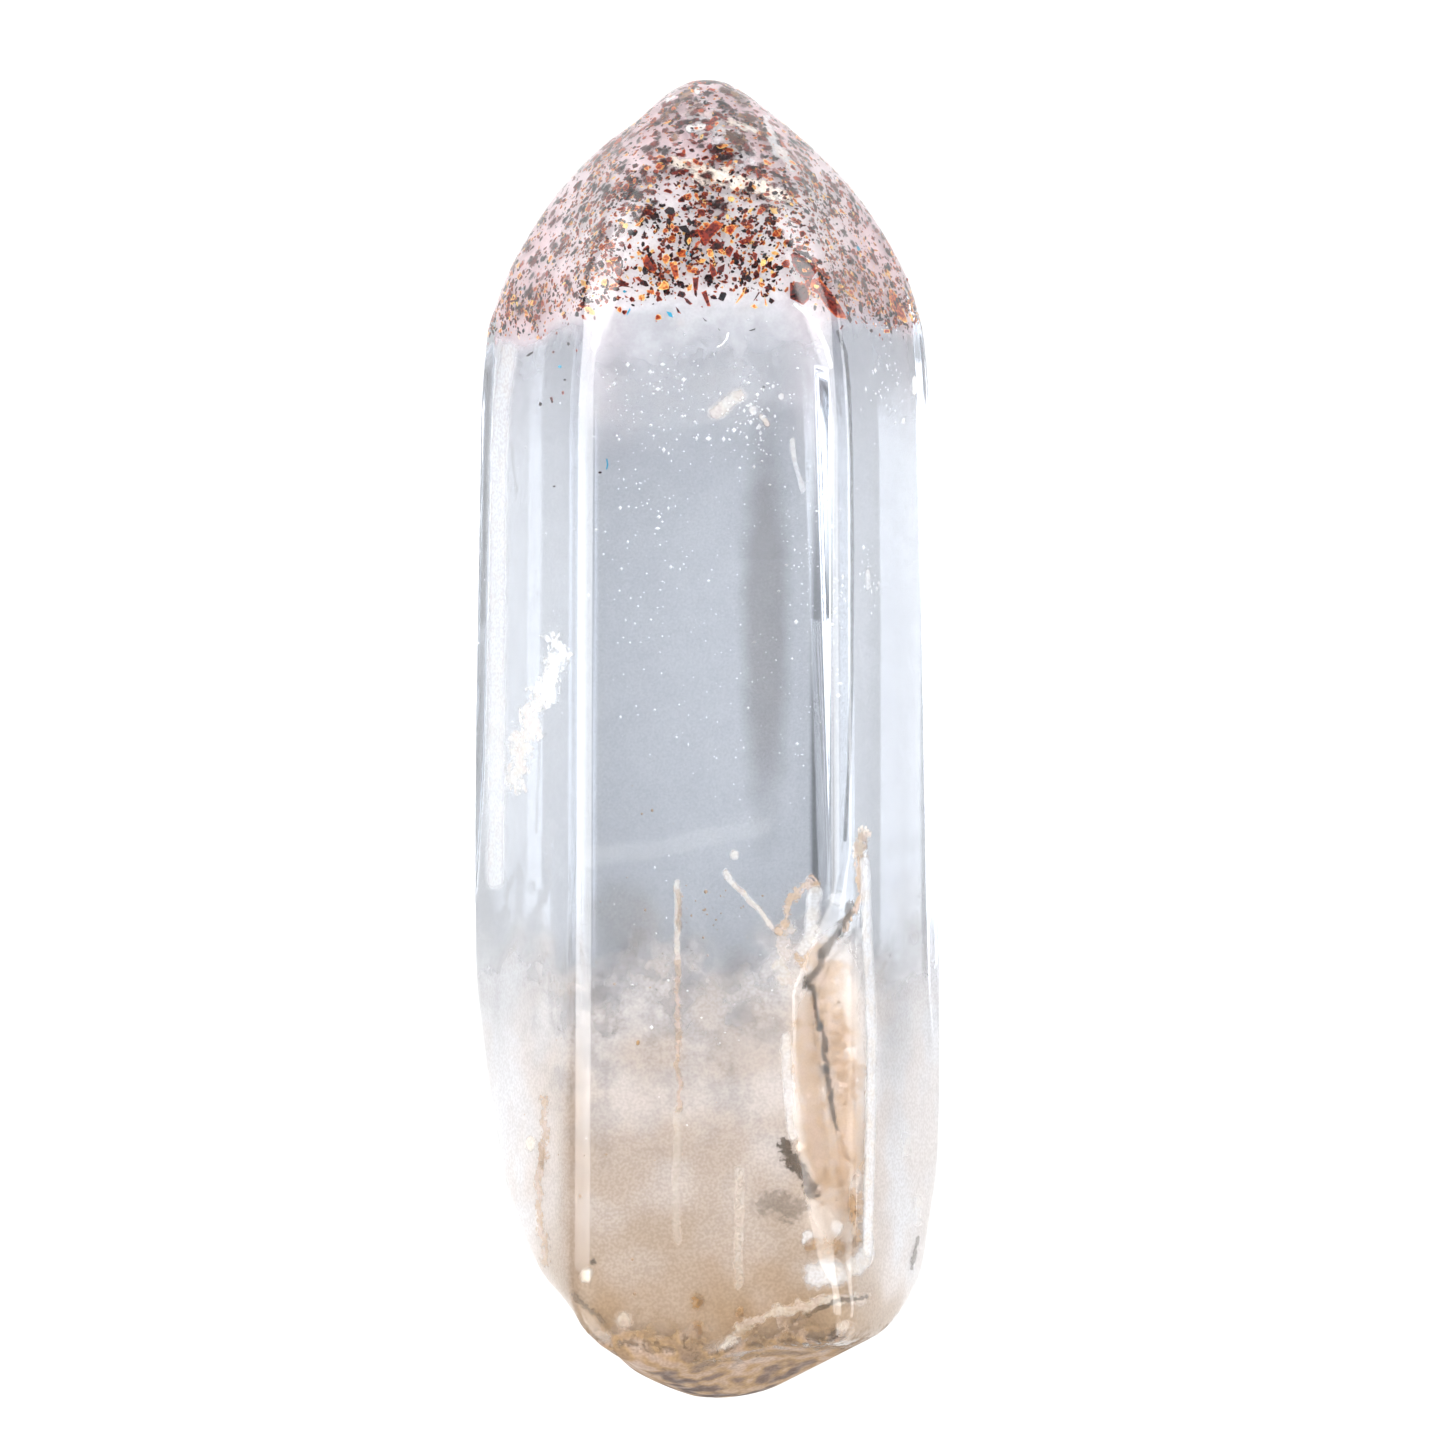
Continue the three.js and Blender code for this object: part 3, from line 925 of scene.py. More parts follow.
BLADES = (
    Blade(((811.7, 279.4), (819.4, 277.8), (826.7, 286.1), (833.3, 295), (838.9, 302.8), (846.7, 317.2),
           (845.6, 318.9), (836.7, 317.2), (832.2, 312.8), (825.6, 306.1), (821.1, 298.3), (817.8, 292.8),
           (812.2, 290.6), (810.6, 283.9)), FlakeTone.OXBLOOD, 0.1),
    Blade(((791.1, 253.9), (803.3, 256.1), (814.4, 265), (816.7, 271.7), (812.2, 278.3), (803.3, 277.8),
           (796.7, 270.6), (792.2, 262.8)), FlakeTone.UMBER, 0.14),
    Blade(((790, 282.8), (796.7, 281.7), (806.7, 283.9), (810, 290.6), (808.9, 299.4), (803.3, 305),
           (796.7, 301.7), (790, 298.3)), FlakeTone.UMBER, 0.2),
    Blade(((793.3, 249.4), (802.2, 250.6), (808.9, 255), (813.3, 257.2), (812.2, 261.1), (805.6, 256.1),
           (797.8, 252.8)), FlakeTone.INK, 0.08),
    Blade(((814.4, 264.4), (822.2, 269.4), (828.9, 276.1), (828.9, 278.9), (824.4, 276.1), (818.9, 270.6)),
          FlakeTone.OXBLOOD, 0.1),
    Blade(((833.9, 270.6), (837.8, 272.8), (840.6, 277.2), (837.8, 277.8), (834.4, 275)), FlakeTone.UMBER),
    Blade(((846.7, 270.6), (852.2, 273.9), (861.1, 282.8), (858.9, 284.4), (852.2, 278.9), (847.8, 273.9)),
          FlakeTone.BRICK, 0.25),
    Blade(((844.4, 290), (850, 291.7), (855.6, 297.2), (861.1, 301.7), (854.4, 298.9), (847.8, 293.9)),
          FlakeTone.AMBER, 0.2),
    Blade(((890, 287.2), (895.6, 292.8), (902.2, 306.1), (907.8, 321.7), (905, 322.8), (897.8, 317.2),
           (891.1, 308.3), (889.4, 297.2)), FlakeTone.BRICK, 0.2),
    Blade(((886.7, 311.7), (889.4, 317.2), (892.8, 334.4), (891.1, 332.8), (887.2, 321.7)),
          FlakeTone.INK, 0.2),
    Blade(((861.1, 316.1), (868.3, 323.3), (866.7, 323.9), (861.7, 318.9)), FlakeTone.UMBER),
    Blade(((908.9, 289.4), (914.4, 300.6), (912.8, 302.8), (907.8, 292.8)), FlakeTone.BRICK, 0.15),
    Blade(((884.4, 329.4), (890, 329.4), (890, 332.8), (884.4, 332.8)), FlakeTone.BRICK),
    Blade(((822.3, 306), (824.2, 307), (825, 312), (823.4, 311)), FlakeTone.INK),
    Blade(((840, 328.8), (843, 324.6), (844, 326), (841, 329.6)), FlakeTone.UMBER),
    Blade(((696.3, 228.8), (703.8, 230), (715, 220), (723.8, 223.8), (720, 228.8), (712.5, 236.3),
           (705, 246.3), (702.5, 241.3), (698.8, 235)), FlakeTone.OXBLOOD, 0.08),
    Blade(((725, 226.3), (732.5, 224.4), (737.5, 225.6), (731.3, 235), (725, 232.5)), FlakeTone.BRICK, 0.08),
    Blade(((677.5, 226.3), (686.3, 225), (692.5, 235), (682.5, 231.3)), FlakeTone.INK, 0.08),
    Blade(((708.8, 248.8), (713.8, 242.5), (725, 241.3), (722.5, 248.8), (712.5, 250)), FlakeTone.UMBER, 0.1),
    Blade(((725, 250), (730, 245), (733.8, 248.8), (730, 257.5), (726.3, 255)), FlakeTone.OXBLOOD),
    Blade(((737.5, 241.3), (747.5, 237.5), (755, 234.4), (750, 242.5), (742.5, 244.4)), FlakeTone.OXBLOOD),
    Blade(((738.8, 221.9), (745, 223.8), (751.3, 223.8), (753.8, 228.1), (745, 227.5)), FlakeTone.OXBLOOD),
    Blade(((665, 246.3), (668.8, 243.8), (671.3, 246.9), (668.1, 250)), FlakeTone.INK, 0.06),
    Blade(((642.5, 260), (646.3, 253.8), (651.3, 262.5), (656.3, 270), (653.8, 273.8), (648.8, 270),
           (643.8, 265)), FlakeTone.OXBLOOD, 0.08),
    Blade(((641.9, 270), (646.3, 268.8), (648.1, 273.8), (643.8, 275)), FlakeTone.INK, 0.07),
    Blade(((669.4, 262.5), (676.3, 261.3), (678.1, 268.8), (678.8, 277.5), (675, 280), (671.3, 270)),
          FlakeTone.BRICK, 0.07),
    Blade(((663.8, 268.8), (671.3, 270), (670, 272.5)), FlakeTone.UMBER),
    Blade(((658.8, 265), (661.9, 267.5), (660, 272.5), (657.5, 268.8)), FlakeTone.INK),
    Blade(((657.5, 288.8), (663.8, 280), (668.8, 283.8), (668.8, 288.8), (662.5, 290)),
          FlakeTone.AMBER, 0.07),
    Blade(((646.3, 290), (653.8, 290), (655, 295), (647.5, 292.5)), FlakeTone.BRICK),
    Blade(((692.5, 277.5), (698.8, 277.5), (697.5, 290), (693.8, 290)), FlakeTone.OXBLOOD),
    Blade(((686.3, 286.3), (692.5, 283.8), (691.3, 290), (687.5, 291.3)), FlakeTone.AMBER),
    Blade(((701.3, 292.5), (706.3, 290), (710.6, 306.3), (707.5, 306.3)), FlakeTone.OXBLOOD, 0.06),
    Blade(((683.8, 297.5), (687.5, 298.8), (692.5, 303.8), (690, 305), (686.3, 302.5)), FlakeTone.UMBER),
    Blade(((675.6, 306.3), (678.1, 308.8), (681.3, 313.8), (677.5, 312.5)), FlakeTone.UMBER),
    Blade(((666.3, 311.3), (671.3, 312.5), (673.1, 317.5), (668.8, 316.3)), FlakeTone.PEACOCK, 0.05),
    Blade(((626.9, 312.5), (630, 307.5), (630.6, 310), (626.9, 315.6)), FlakeTone.PEACOCK, 0.05),
    Blade(((702.5, 317.5), (707.5, 321.3), (705, 321.3)), FlakeTone.INK),
    Blade(((717.5, 327.5), (720.6, 330.6), (718.8, 330.2)), FlakeTone.INK),
    Blade(((748.8, 330.6), (755.6, 328.1), (755, 330), (750, 331)), FlakeTone.INK),
    Blade(((710, 262.5), (715, 267.5), (717.5, 275), (712.5, 277.5), (709.4, 270)), FlakeTone.OXBLOOD),
    Blade(((717.5, 267.5), (725, 263.8), (723.8, 271.3), (718.8, 275)), FlakeTone.UMBER),
    Blade(((687.5, 270), (697.5, 268.8), (698.8, 273.8), (690, 272.5)), FlakeTone.BRICK),
    Blade(((752.5, 251.3), (757.5, 253.8), (756.3, 261.3), (753.1, 258.8)), FlakeTone.OXBLOOD),
    Blade(((735, 303.8), (741.3, 293.8), (746.3, 286.3), (743.8, 295), (737.5, 302.5)), FlakeTone.AMBER),
    Blade(((753.1, 301.3), (758.8, 291.3), (760, 292.5), (755, 300)), FlakeTone.UMBER),
    Blade(((764.4, 295), (767.5, 306.3), (765, 305.6)), FlakeTone.AMBER),
    Blade(((750.6, 306.3), (754.4, 303.8), (758.1, 307.5), (755, 308.8)), FlakeTone.AMBER),
    Blade(((617.5, 287.5), (621.9, 282.5), (631.3, 287.5), (622.5, 286.3)), FlakeTone.UMBER),
    Blade(((624.4, 295), (628.8, 297.5), (625.6, 298)), FlakeTone.OXBLOOD),
    Blade(((634.4, 277.5), (638.8, 276.3), (643.8, 282.5), (641.3, 283.1)), FlakeTone.OXBLOOD),
    Blade(((621.3, 260), (623.1, 260), (623.1, 267.5), (618.1, 271.3), (620.6, 266.3)), FlakeTone.INK),
    Blade(((771.3, 273.8), (775, 272.5), (778.8, 275), (775, 277.5)), FlakeTone.INK),
    Blade(((763.8, 287.5), (770, 283.8), (773.8, 290), (767.5, 290)), FlakeTone.UMBER),
    Blade(((525.6, 356.3), (528.8, 353.1), (533.1, 351.3), (532.5, 353.1), (528.1, 356.3)), FlakeTone.INK),
    Blade(((549.4, 397.5), (551.9, 396.9), (552.8, 402.5), (551.3, 403.1)), FlakeTone.UMBER),
    Blade(((606, 458.8), (607.4, 458.8), (608.4, 465), (607, 469.4), (605.8, 469.4), (607, 465)),
          FlakeTone.PEACOCK),
    Blade(dot(559.4, 366.6, 1.9, 1.6), FlakeTone.PEACOCK),
    Blade(dot(564.4, 379.8, 1.5, 1.3), FlakeTone.INK),
    Blade(dot(562.5, 392.8, 1.1, 2.0), FlakeTone.OXBLOOD),
    Blade(dot(540, 404, 1.6, 2.1), FlakeTone.INK),
    Blade(dot(600, 472.5, 2.0, 1.2), FlakeTone.INK),
    Blade(dot(553.8, 486.3, 1.5, 0.9), FlakeTone.INK),
    Blade(dot(553, 352, 1.1, 1.5), FlakeTone.UMBER),
    Blade(dot(576.3, 350.6, 0.9, 1.3), FlakeTone.OXBLOOD),
    Blade(dot(568, 343.8, 1.4, 1.9), FlakeTone.INK),
    Blade(dot(871.7, 330.6, 1.6, 2.0), FlakeTone.INK),
    Blade(dot(848.3, 313.6, 1.2, 1.9), FlakeTone.PEACOCK),
    Blade(dot(853.3, 311.1, 1.3, 1.5), FlakeTone.BRICK),
    Blade(dot(731.3, 198.8, 3.4, 2.8), FlakeTone.GOLD, 0.06),
)


@dataclass
class BladeGroup:
    """The larger blades low in the crowd of flakes, and the lone flakes below it."""

    sight: Sight = field(default_factory=Sight)
    blades: tuple[Blade, ...] = BLADES
    thickness: float = 0.02

    def build(self) -> bpy.types.Object:
        """Builds every blade as a thin closed plate below the skin.

        Returns:
            The blades as one object.
        """
        gathered = Grains()
        for blade in self.blades:
            rim, normals = self.sight.below_skin(np.array(blade.outline), blade.depth)
            gathered.add_plate(rim, -normals * self.thickness, blade.tone.value)
        return gathered.join("lepidocrocite_blades")

    def dress(self, blades: bpy.types.Object) -> None:
        """Gives the blades their finish and their place in the frame."""
        settle(blades, bpy.data.materials["lepidocrocite"])


class FilmTone(Enum):
    """The colours of the films in the crystal, by the tone from 0 to 1 that stands for each."""

    MILK = 0.04
    CREAM = 0.18
    ROSE = 0.32
    SAND = 0.46
    OCHRE = 0.6
    RUST = 0.72
    CLAY = 0.84
    SMOKE = 0.96


Colours = tuple[tuple[Enum, tuple[float, float, float]], ...]

FILM_COLOURS: Colours = (
    (FilmTone.MILK, (0.94, 0.96, 1.0)),
    (FilmTone.CREAM, (0.98, 0.90, 0.78)),
    (FilmTone.ROSE, (0.88, 0.70, 0.70)),
    (FilmTone.SAND, (0.72, 0.55, 0.40)),
    (FilmTone.OCHRE, (0.50, 0.30, 0.12)),
    (FilmTone.RUST, (0.09, 0.03, 0.025)),
    (FilmTone.CLAY, (0.12, 0.09, 0.06)),
    (FilmTone.SMOKE, (0.04, 0.04, 0.045)),
)
HAZE_COLOURS: Colours = (
    (FilmTone.MILK, (0.97, 0.975, 1.0)),
    (FilmTone.ROSE, (0.86, 0.66, 0.69)),
)


@dataclass(frozen=True)
class FilmFinish:
    """A thin see-through film, broken up by its noise where it is weak and fading out at its border."""

    name: str
    tears_per_mm: float = 7.0
    ragged: float = 0.7
    drift: float = 0.1
    colours: Colours = FILM_COLOURS
    grain_per_mm: float = 14.0
    grain_shade: tuple[float, float, float] = (0.84, 0.82, 0.8)

    def make(self) -> bpy.types.Material:
        """Builds the material.

        Returns:
            The film's material.
        """
        material, graph = new_material(self.name)
        tone, strength, opacity, torn = (
            graph.node("ShaderNodeAttribute", attribute_name=name).outputs["Fac"]
            for name in ("tone", "strength", "opacity", "torn")
        )
        place = graph.node("ShaderNodeTexCoord").outputs["Object"]
        place = graph.vector_math("MULTIPLY", place, (1000.0, 1000.0, 1000.0))
        cloud = graph.rise(graph.noise(place, self.tears_per_mm, 3.0, 0.6), 0.36, 0.64)
        patches = graph.rise(graph.noise(place, self.tears_per_mm / 2, 1.0), 0.36, 0.64)
        grain = graph.rise(graph.noise(place, self.grain_per_mm, 0.0), 0.3, 0.7)
        tone = graph.math("MULTIPLY_ADD", patches, self.drift, graph.math("SUBTRACT", tone, self.drift / 2))
        colour = graph.ramp(tone, [(name.value, shade) for name, shade in self.colours])
        colour = graph.blend(grain, graph.vector_math("MULTIPLY", colour, self.grain_shade), colour)
        torn = graph.math("MULTIPLY", torn, self.ragged)
        broken = graph.math("MULTIPLY_ADD", graph.math("SUBTRACT", cloud, 0.5), torn, strength)
        alpha = graph.math("MULTIPLY", graph.rise(broken, 0.12, 0.8), graph.rise(strength, 0.0, 0.4))
        alpha = graph.math("MULTIPLY", alpha, opacity)
        surface = graph.node("ShaderNodeBsdfPrincipled", {"Base Color": colour, "Alpha": alpha})
        graph.feed(surface.inputs["Roughness"], graph.math("MULTIPLY_ADD", cloud, 0.3, 0.5))
        surface.inputs["Specular IOR Level"].default_value = 0.1
        graph.node("ShaderNodeOutputMaterial", {"Surface": surface.outputs["BSDF"]})
        return material


@dataclass
class InnerShell:
    """A thin haze all round, a little below the skin at one end of the crystal.

    Each kind of shell says where it is dense and which tone it has there.
    """

    name: str
    finish: FilmFinish
    inset: float
    starts_y: tuple[float, float]
    end_lift: float
    form: CrystalForm = field(default_factory=CrystalForm)
    columns: int = 132
    body_rows: int = 24
    end_rows: int = 44

    def held(self, points: Array) -> Array:
        """Gives the shell's points, moved where this kind of shell may not reach."""
        return points

    def looks(self, points: Array) -> dict[str, Array]:
        """Gives the tone, strength, opacity and torn share at points of the shell."""
        raise NotImplementedError

    def build(self) -> bpy.types.Object:
        """Builds the shell as rows of points along the body and round the end.

        Returns:
            The shell as one object.
        """
        body_y = np.linspace(*self.starts_y, self.body_rows)
        row_y = np.concatenate([body_y, np.full(self.end_rows, body_y[-1])])
        end_lift = np.linspace(0, self.end_lift, self.end_rows + 1)[1:]
        row_lift = np.concatenate([np.zeros(self.body_rows), end_lift])
        turns = np.arange(self.columns) * 2 * math.pi / self.columns
        lift, turn = np.meshgrid(np.radians(row_lift), turns, indexing="ij")
        y, _ = np.meshgrid(row_y, turns, indexing="ij")
        directions = np.stack([np.sin(turn) * np.cos(lift), np.sin(lift), np.cos(turn) * np.cos(lift)], -1)
        starts = np.stack([np.zeros_like(y), y, np.full_like(y, self.form.axis_z)], -1)
        starts, directions = starts.reshape(-1, 3), directions.reshape(-1, 3)
        points = self.held(self.form.along_rays(starts, directions, 0.0, 20.0, self.inset))
        grid = np.arange(len(points)).reshape(y.shape)
        turned = np.roll(grid, -1, axis=1)
        faces = np.stack([grid[:-1], grid[1:], turned[1:], turned[:-1]], -1).reshape(-1, 4)
        gathered = Grains()
        gathered.add(points, faces.tolist(), **self.looks(points))
        return gathered.join(self.name)

    def dress(self, shell: bpy.types.Object) -> None:
        """Gives the shell its finish and its place in the frame."""
        shell.data.polygons.foreach_set("use_smooth", [True] * len(shell.data.polygons))
        settle(shell, self.finish.make())


@dataclass
class PointHaze(InnerShell):
    """The pale haze of finest dust under the flakes, white in the middle and rose at the flanks and tip."""

    name: str = "point_haze"
    finish: FilmFinish = FilmFinish("pale_haze", 0.8, 0.08, 0.06, HAZE_COLOURS, 14.0, (0.95, 0.94, 0.95))
    inset: float = 0.5
    starts_y: tuple[float, float] = (4.4, 10.4)
    end_lift: float = 89.8
    border: FlakeBorder = field(default_factory=FlakeBorder)
    rose_across: Profile = Profile((1.6, 3.8), (0, 1))
    rose_up: Profile = Profile((12.6, 14.6), (0, 1))
    middle_above: Profile = Profile((-6.0, -3.5, -1.6, -0.4, 0.2, 0.8), (-0.02, 0.22, 0.35, 0.45, 0.85, 1.2))
    flank_above: Profile = Profile((-0.8, 0.0, 1.0), (-0.02, 0.5, 1.2))
    flank_across: Profile = Profile((2.7, 3.5), (0, 1))
    opacity: float = 0.94

    def looks(self, points: Array) -> dict[str, Array]:
        """Gives the tone, strength, opacity and torn share at points of the haze."""
        across = np.abs(points[:, 0])
        above = self.border.height_above(points)
        rose = np.maximum(self.rose_across.at(across), self.rose_up.at(points[:, 1]))
        middle, flank = self.middle_above.at(above), self.flank_above.at(above)
        return {
            "tone": FilmTone.MILK.value + rose * (FilmTone.ROSE.value - FilmTone.MILK.value),
            "strength": middle + self.flank_across.at(across) * (flank - middle),
            "opacity": np.full(len(points), self.opacity),
            "torn": np.ones(len(points)),
        }


class StainTone(Enum):
    """The colours of the stained base, by the tone from 0 to 1 that stands for each."""

    FROST = 0.0
    ASH = 0.12
    SAND = 0.27
    OCHRE = 0.5
    UMBER = 0.75
    PEAT = 0.95


STAIN_COLOURS: Colours = (
    (StainTone.FROST, (0.86, 0.87, 0.90)),
    (StainTone.ASH, (0.80, 0.75, 0.73)),
    (StainTone.SAND, (0.60, 0.51, 0.44)),
    (StainTone.OCHRE, (0.45, 0.33, 0.22)),
    (StainTone.UMBER, (0.25, 0.17, 0.115)),
    (StainTone.PEAT, (0.08, 0.05, 0.04)),
)


@dataclass
class BaseStain(InnerShell):
    """The stain in the worn base, grey-beige where it begins and dark brown at the very end."""

    name: str = "base_stain"
    finish: FilmFinish = FilmFinish("clay_stain", 1.3, 0.22, 0.1, STAIN_COLOURS, 14.0, (0.86, 0.85, 0.84))
    inset: float = 0.16
    starts_y: tuple[float, float] = (-3.4, -10.5)
    end_lift: float = -89.8
    tone_up: Profile = Profile((-16.4, -15.7, -14.6, -12.6, -10.0, -5.0), (0.95, 0.78, 0.5, 0.33, 0.22, 0.15))
    strength_up: Profile = Profile((-16.5, -14.5, -11.5, -8.5, -5.8, -3.5), (1.3, 1.0, 0.85, 0.7, 0.42, -0.02))
    opacity_up: Profile = Profile((-16.8, -14.8, -12.0, -5.0), (0.97, 0.9, 0.76, 0.66))
    densest: float = 0.97
    side_across: Profile = Profile((3.3, 4.6), (0, 1))
    side_up: Profile = Profile((-15.5, -13.0), (0, 1))
    side_paleness: float = 0.85
    side_calm: float = 0.8
    ledge_middle: tuple[float, float] = (3.1, -8.6)
    ledge_reach: tuple[float, float] = (1.4, 5.0)
    ledge_cover: float = 0.35

    def looks(self, points: Array) -> dict[str, Array]:
        """Gives the tone, strength, opacity and torn share at points of the stain."""
        x, y, z = points.T
        border = 0.45 * np.sin(1.9 * x + 0.7) + 0.25 * np.sin(4.3 * x + 2.0 * z)
        sides = self.side_across.at(np.abs(x)) * self.side_up.at(y)
        ledge = hump(np.abs(x - self.ledge_middle[0]) / self.ledge_reach[0])
        ledge = ledge * hump(np.abs(y - self.ledge_middle[1]) / self.ledge_reach[1]) * (z > self.form.axis_z)
        return {
            "tone": self.tone_up.at(y) * (1 - self.side_paleness * sides),
            "strength": self.strength_up.at(y + border) + ledge,
            "opacity": np.minimum(self.densest, self.opacity_up.at(y) + self.ledge_cover * ledge),
            "torn": 1 - self.side_calm * sides,
        }


CRUST_COLOURS: Colours = (
    (StainTone.FROST, (0.34, 0.28, 0.24)),
    (StainTone.SAND, (0.25, 0.18, 0.135)),
    (StainTone.OCHRE, (0.22, 0.145, 0.08)),
    (StainTone.UMBER, (0.12, 0.085, 0.068)),
    (StainTone.PEAT, (0.055, 0.038, 0.032)),
)


@dataclass
class BaseCrust(InnerShell):
    """The thin dull crust of clay and iron on the broken end of the base."""

    name: str = "base_crust"
    finish: FilmFinish = FilmFinish("clay_crust", 3.2, 0.5, 0.45, CRUST_COLOURS, 13.0, (0.8, 0.78, 0.76))
    inset: float = 0.004
    starts_y: tuple[float, float] = (-10.4, -10.5)
    end_lift: float = -87.0
    body_rows: int = 2
    end_rows: int = 60
    lowest_y: float = -16.5
    heights: tuple[float, float] = (0.002, 8.99)
    tone_up: Profile = Profile((-16.4, -15.9, -15.2, -14.2), (0.72, 0.6, 0.42, 0.3))
    strength_up: Profile = Profile((-16.4, -15.6, -14.9, -13.8), (1.5, 1.1, 0.5, -0.02))
    opacity: float = 0.96

    def held(self, points: Array) -> Array:
        """Keeps the crust's points within the box of the crystal."""
        x, y, z = points.T
        return np.stack([x, np.maximum(y, self.lowest_y), np.clip(z, *self.heights)], -1)

    def looks(self, points: Array) -> dict[str, Array]:
        """Gives the tone, strength, opacity and torn share at points of the crust."""
        x, y, _ = points.T
        return {
            "tone": self.tone_up.at(y + 0.25 * np.sin(2.1 * x)),
            "strength": self.strength_up.at(y + 0.2 * np.sin(1.7 * x + 1.0)),
            "opacity": np.full(len(points), self.opacity),
            "torn": np.ones(len(points)),
        }


@dataclass
class SoftFlakes:
    """Flakes in the cloudy flanks and tip, whose borders are lost in the haze round them."""

    form: CrystalForm = field(default_factory=CrystalForm)
    border: FlakeBorder = field(default_factory=FlakeBorder)
    seed: int = 31
    candidates: int = 16000
    centre: tuple[float, float, float] = (0.0, 10.4, 4.6)
    count: int = 1300
    half_length: float = 0.16
    half_length_range: tuple[float, float] = (0.07, 0.28)
    depths: tuple[float, float] = (0.1, 0.4)
    corners: int = 9
    core_strength: float = 1.25
    flank_across: Profile = Profile((1.5, 3.4), (0, 1))
    tip_up: Profile = Profile((12.4, 14.2), (0, 1.6))
    starts_above: Profile = Profile((0.4, 1.4), (0, 1))

    def build(self) -> bpy.types.Object:
        """Builds every soft flake as a flat fan that is strong in the middle and fades to its rim.

        Returns:
            The soft flakes as one object.
        """
        rng = np.random.default_rng(self.seed)
        directions = unit(rng.normal(size=(self.candidates, 3)))
        directions[:, 1] = np.abs(directions[:, 1]) * 1.1 - 0.1
        directions = unit(directions)
        depths = rng.uniform(*self.depths, self.candidates)
        starts = np.broadcast_to(np.array(self.centre), directions.shape)
        points = self.form.along_rays(starts, directions, 0.0, 12.0, depths)
        normals = self.form.facing(points, depths)
        weight = ((points - starts) ** 2).sum(-1) / np.maximum(0.2, (normals * directions).sum(-1))
        crowded = np.maximum(self.flank_across.at(np.abs(points[:, 0])), self.tip_up.at(points[:, 1]))
        weight *= crowded * self.starts_above.at(self.border.height_above(points))
        picked = rng.choice(self.candidates, self.count, replace=False, p=weight / weight.sum())
        tones = deal_tones(rng, self.count, SOFT_FLAKE_SHARES)
        turns = np.arange(self.corners) * 2 * math.pi / self.corners
        faces = [[0, i + 1, (i + 1) % self.corners + 1] for i in range(self.corners)]
        strength = np.array([self.core_strength] + [0.0] * self.corners)
        gathered = Grains()
        for point, normal, tone in zip(points[picked], normals[picked], tones):
            across = unit(np.cross(normal, rng.normal(size=3)))
            along = np.cross(normal, across)
            length = np.clip(rng.lognormal(math.log(self.half_length), 0.4), *self.half_length_range)
            width = length * rng.uniform(0.5, 0.9)
            reach = rng.uniform(0.8, 1.15, (self.corners, 1))
            spread = np.outer(np.cos(turns), along) * length + np.outer(np.sin(turns), across) * width
            rim = point + reach * spread
            opacity = rng.uniform(0.7, 1.0)
            fan = np.concatenate([point[None], rim])
            gathered.add(fan, faces, tone=tone, strength=strength, opacity=opacity, torn=1.0)
        return gathered.join("soft_flakes")

    def dress(self, flakes: bpy.types.Object) -> None:
        """Gives the soft flakes their finish and their place in the frame."""
        settle(flakes, FilmFinish("flakes_in_haze", 8.0, 0.4, 0.1, LepidocrociteFinish().colours).make())


@dataclass(frozen=True)
class Film:
    """A thin film inside the crystal, as a band along pixels of the photograph."""

    path: tuple[tuple[float, float], ...]
    half_width: float
    tone: FilmTone
    opacity: float = 0.8
    depth: float = 0.1
    torn: float = 1.0


def spot(
    x: float, y: float, half_width: float, half_height: float,
    tone: FilmTone, opacity: float = 0.8, depth: float = 0.1,
) -> Film:
    """Gives an upright oval film round a pixel."""
    reach = max(0.5, half_height - half_width)
    return Film(((x, y - reach), (x, y + reach)), half_width, tone, opacity, depth, 0.5)


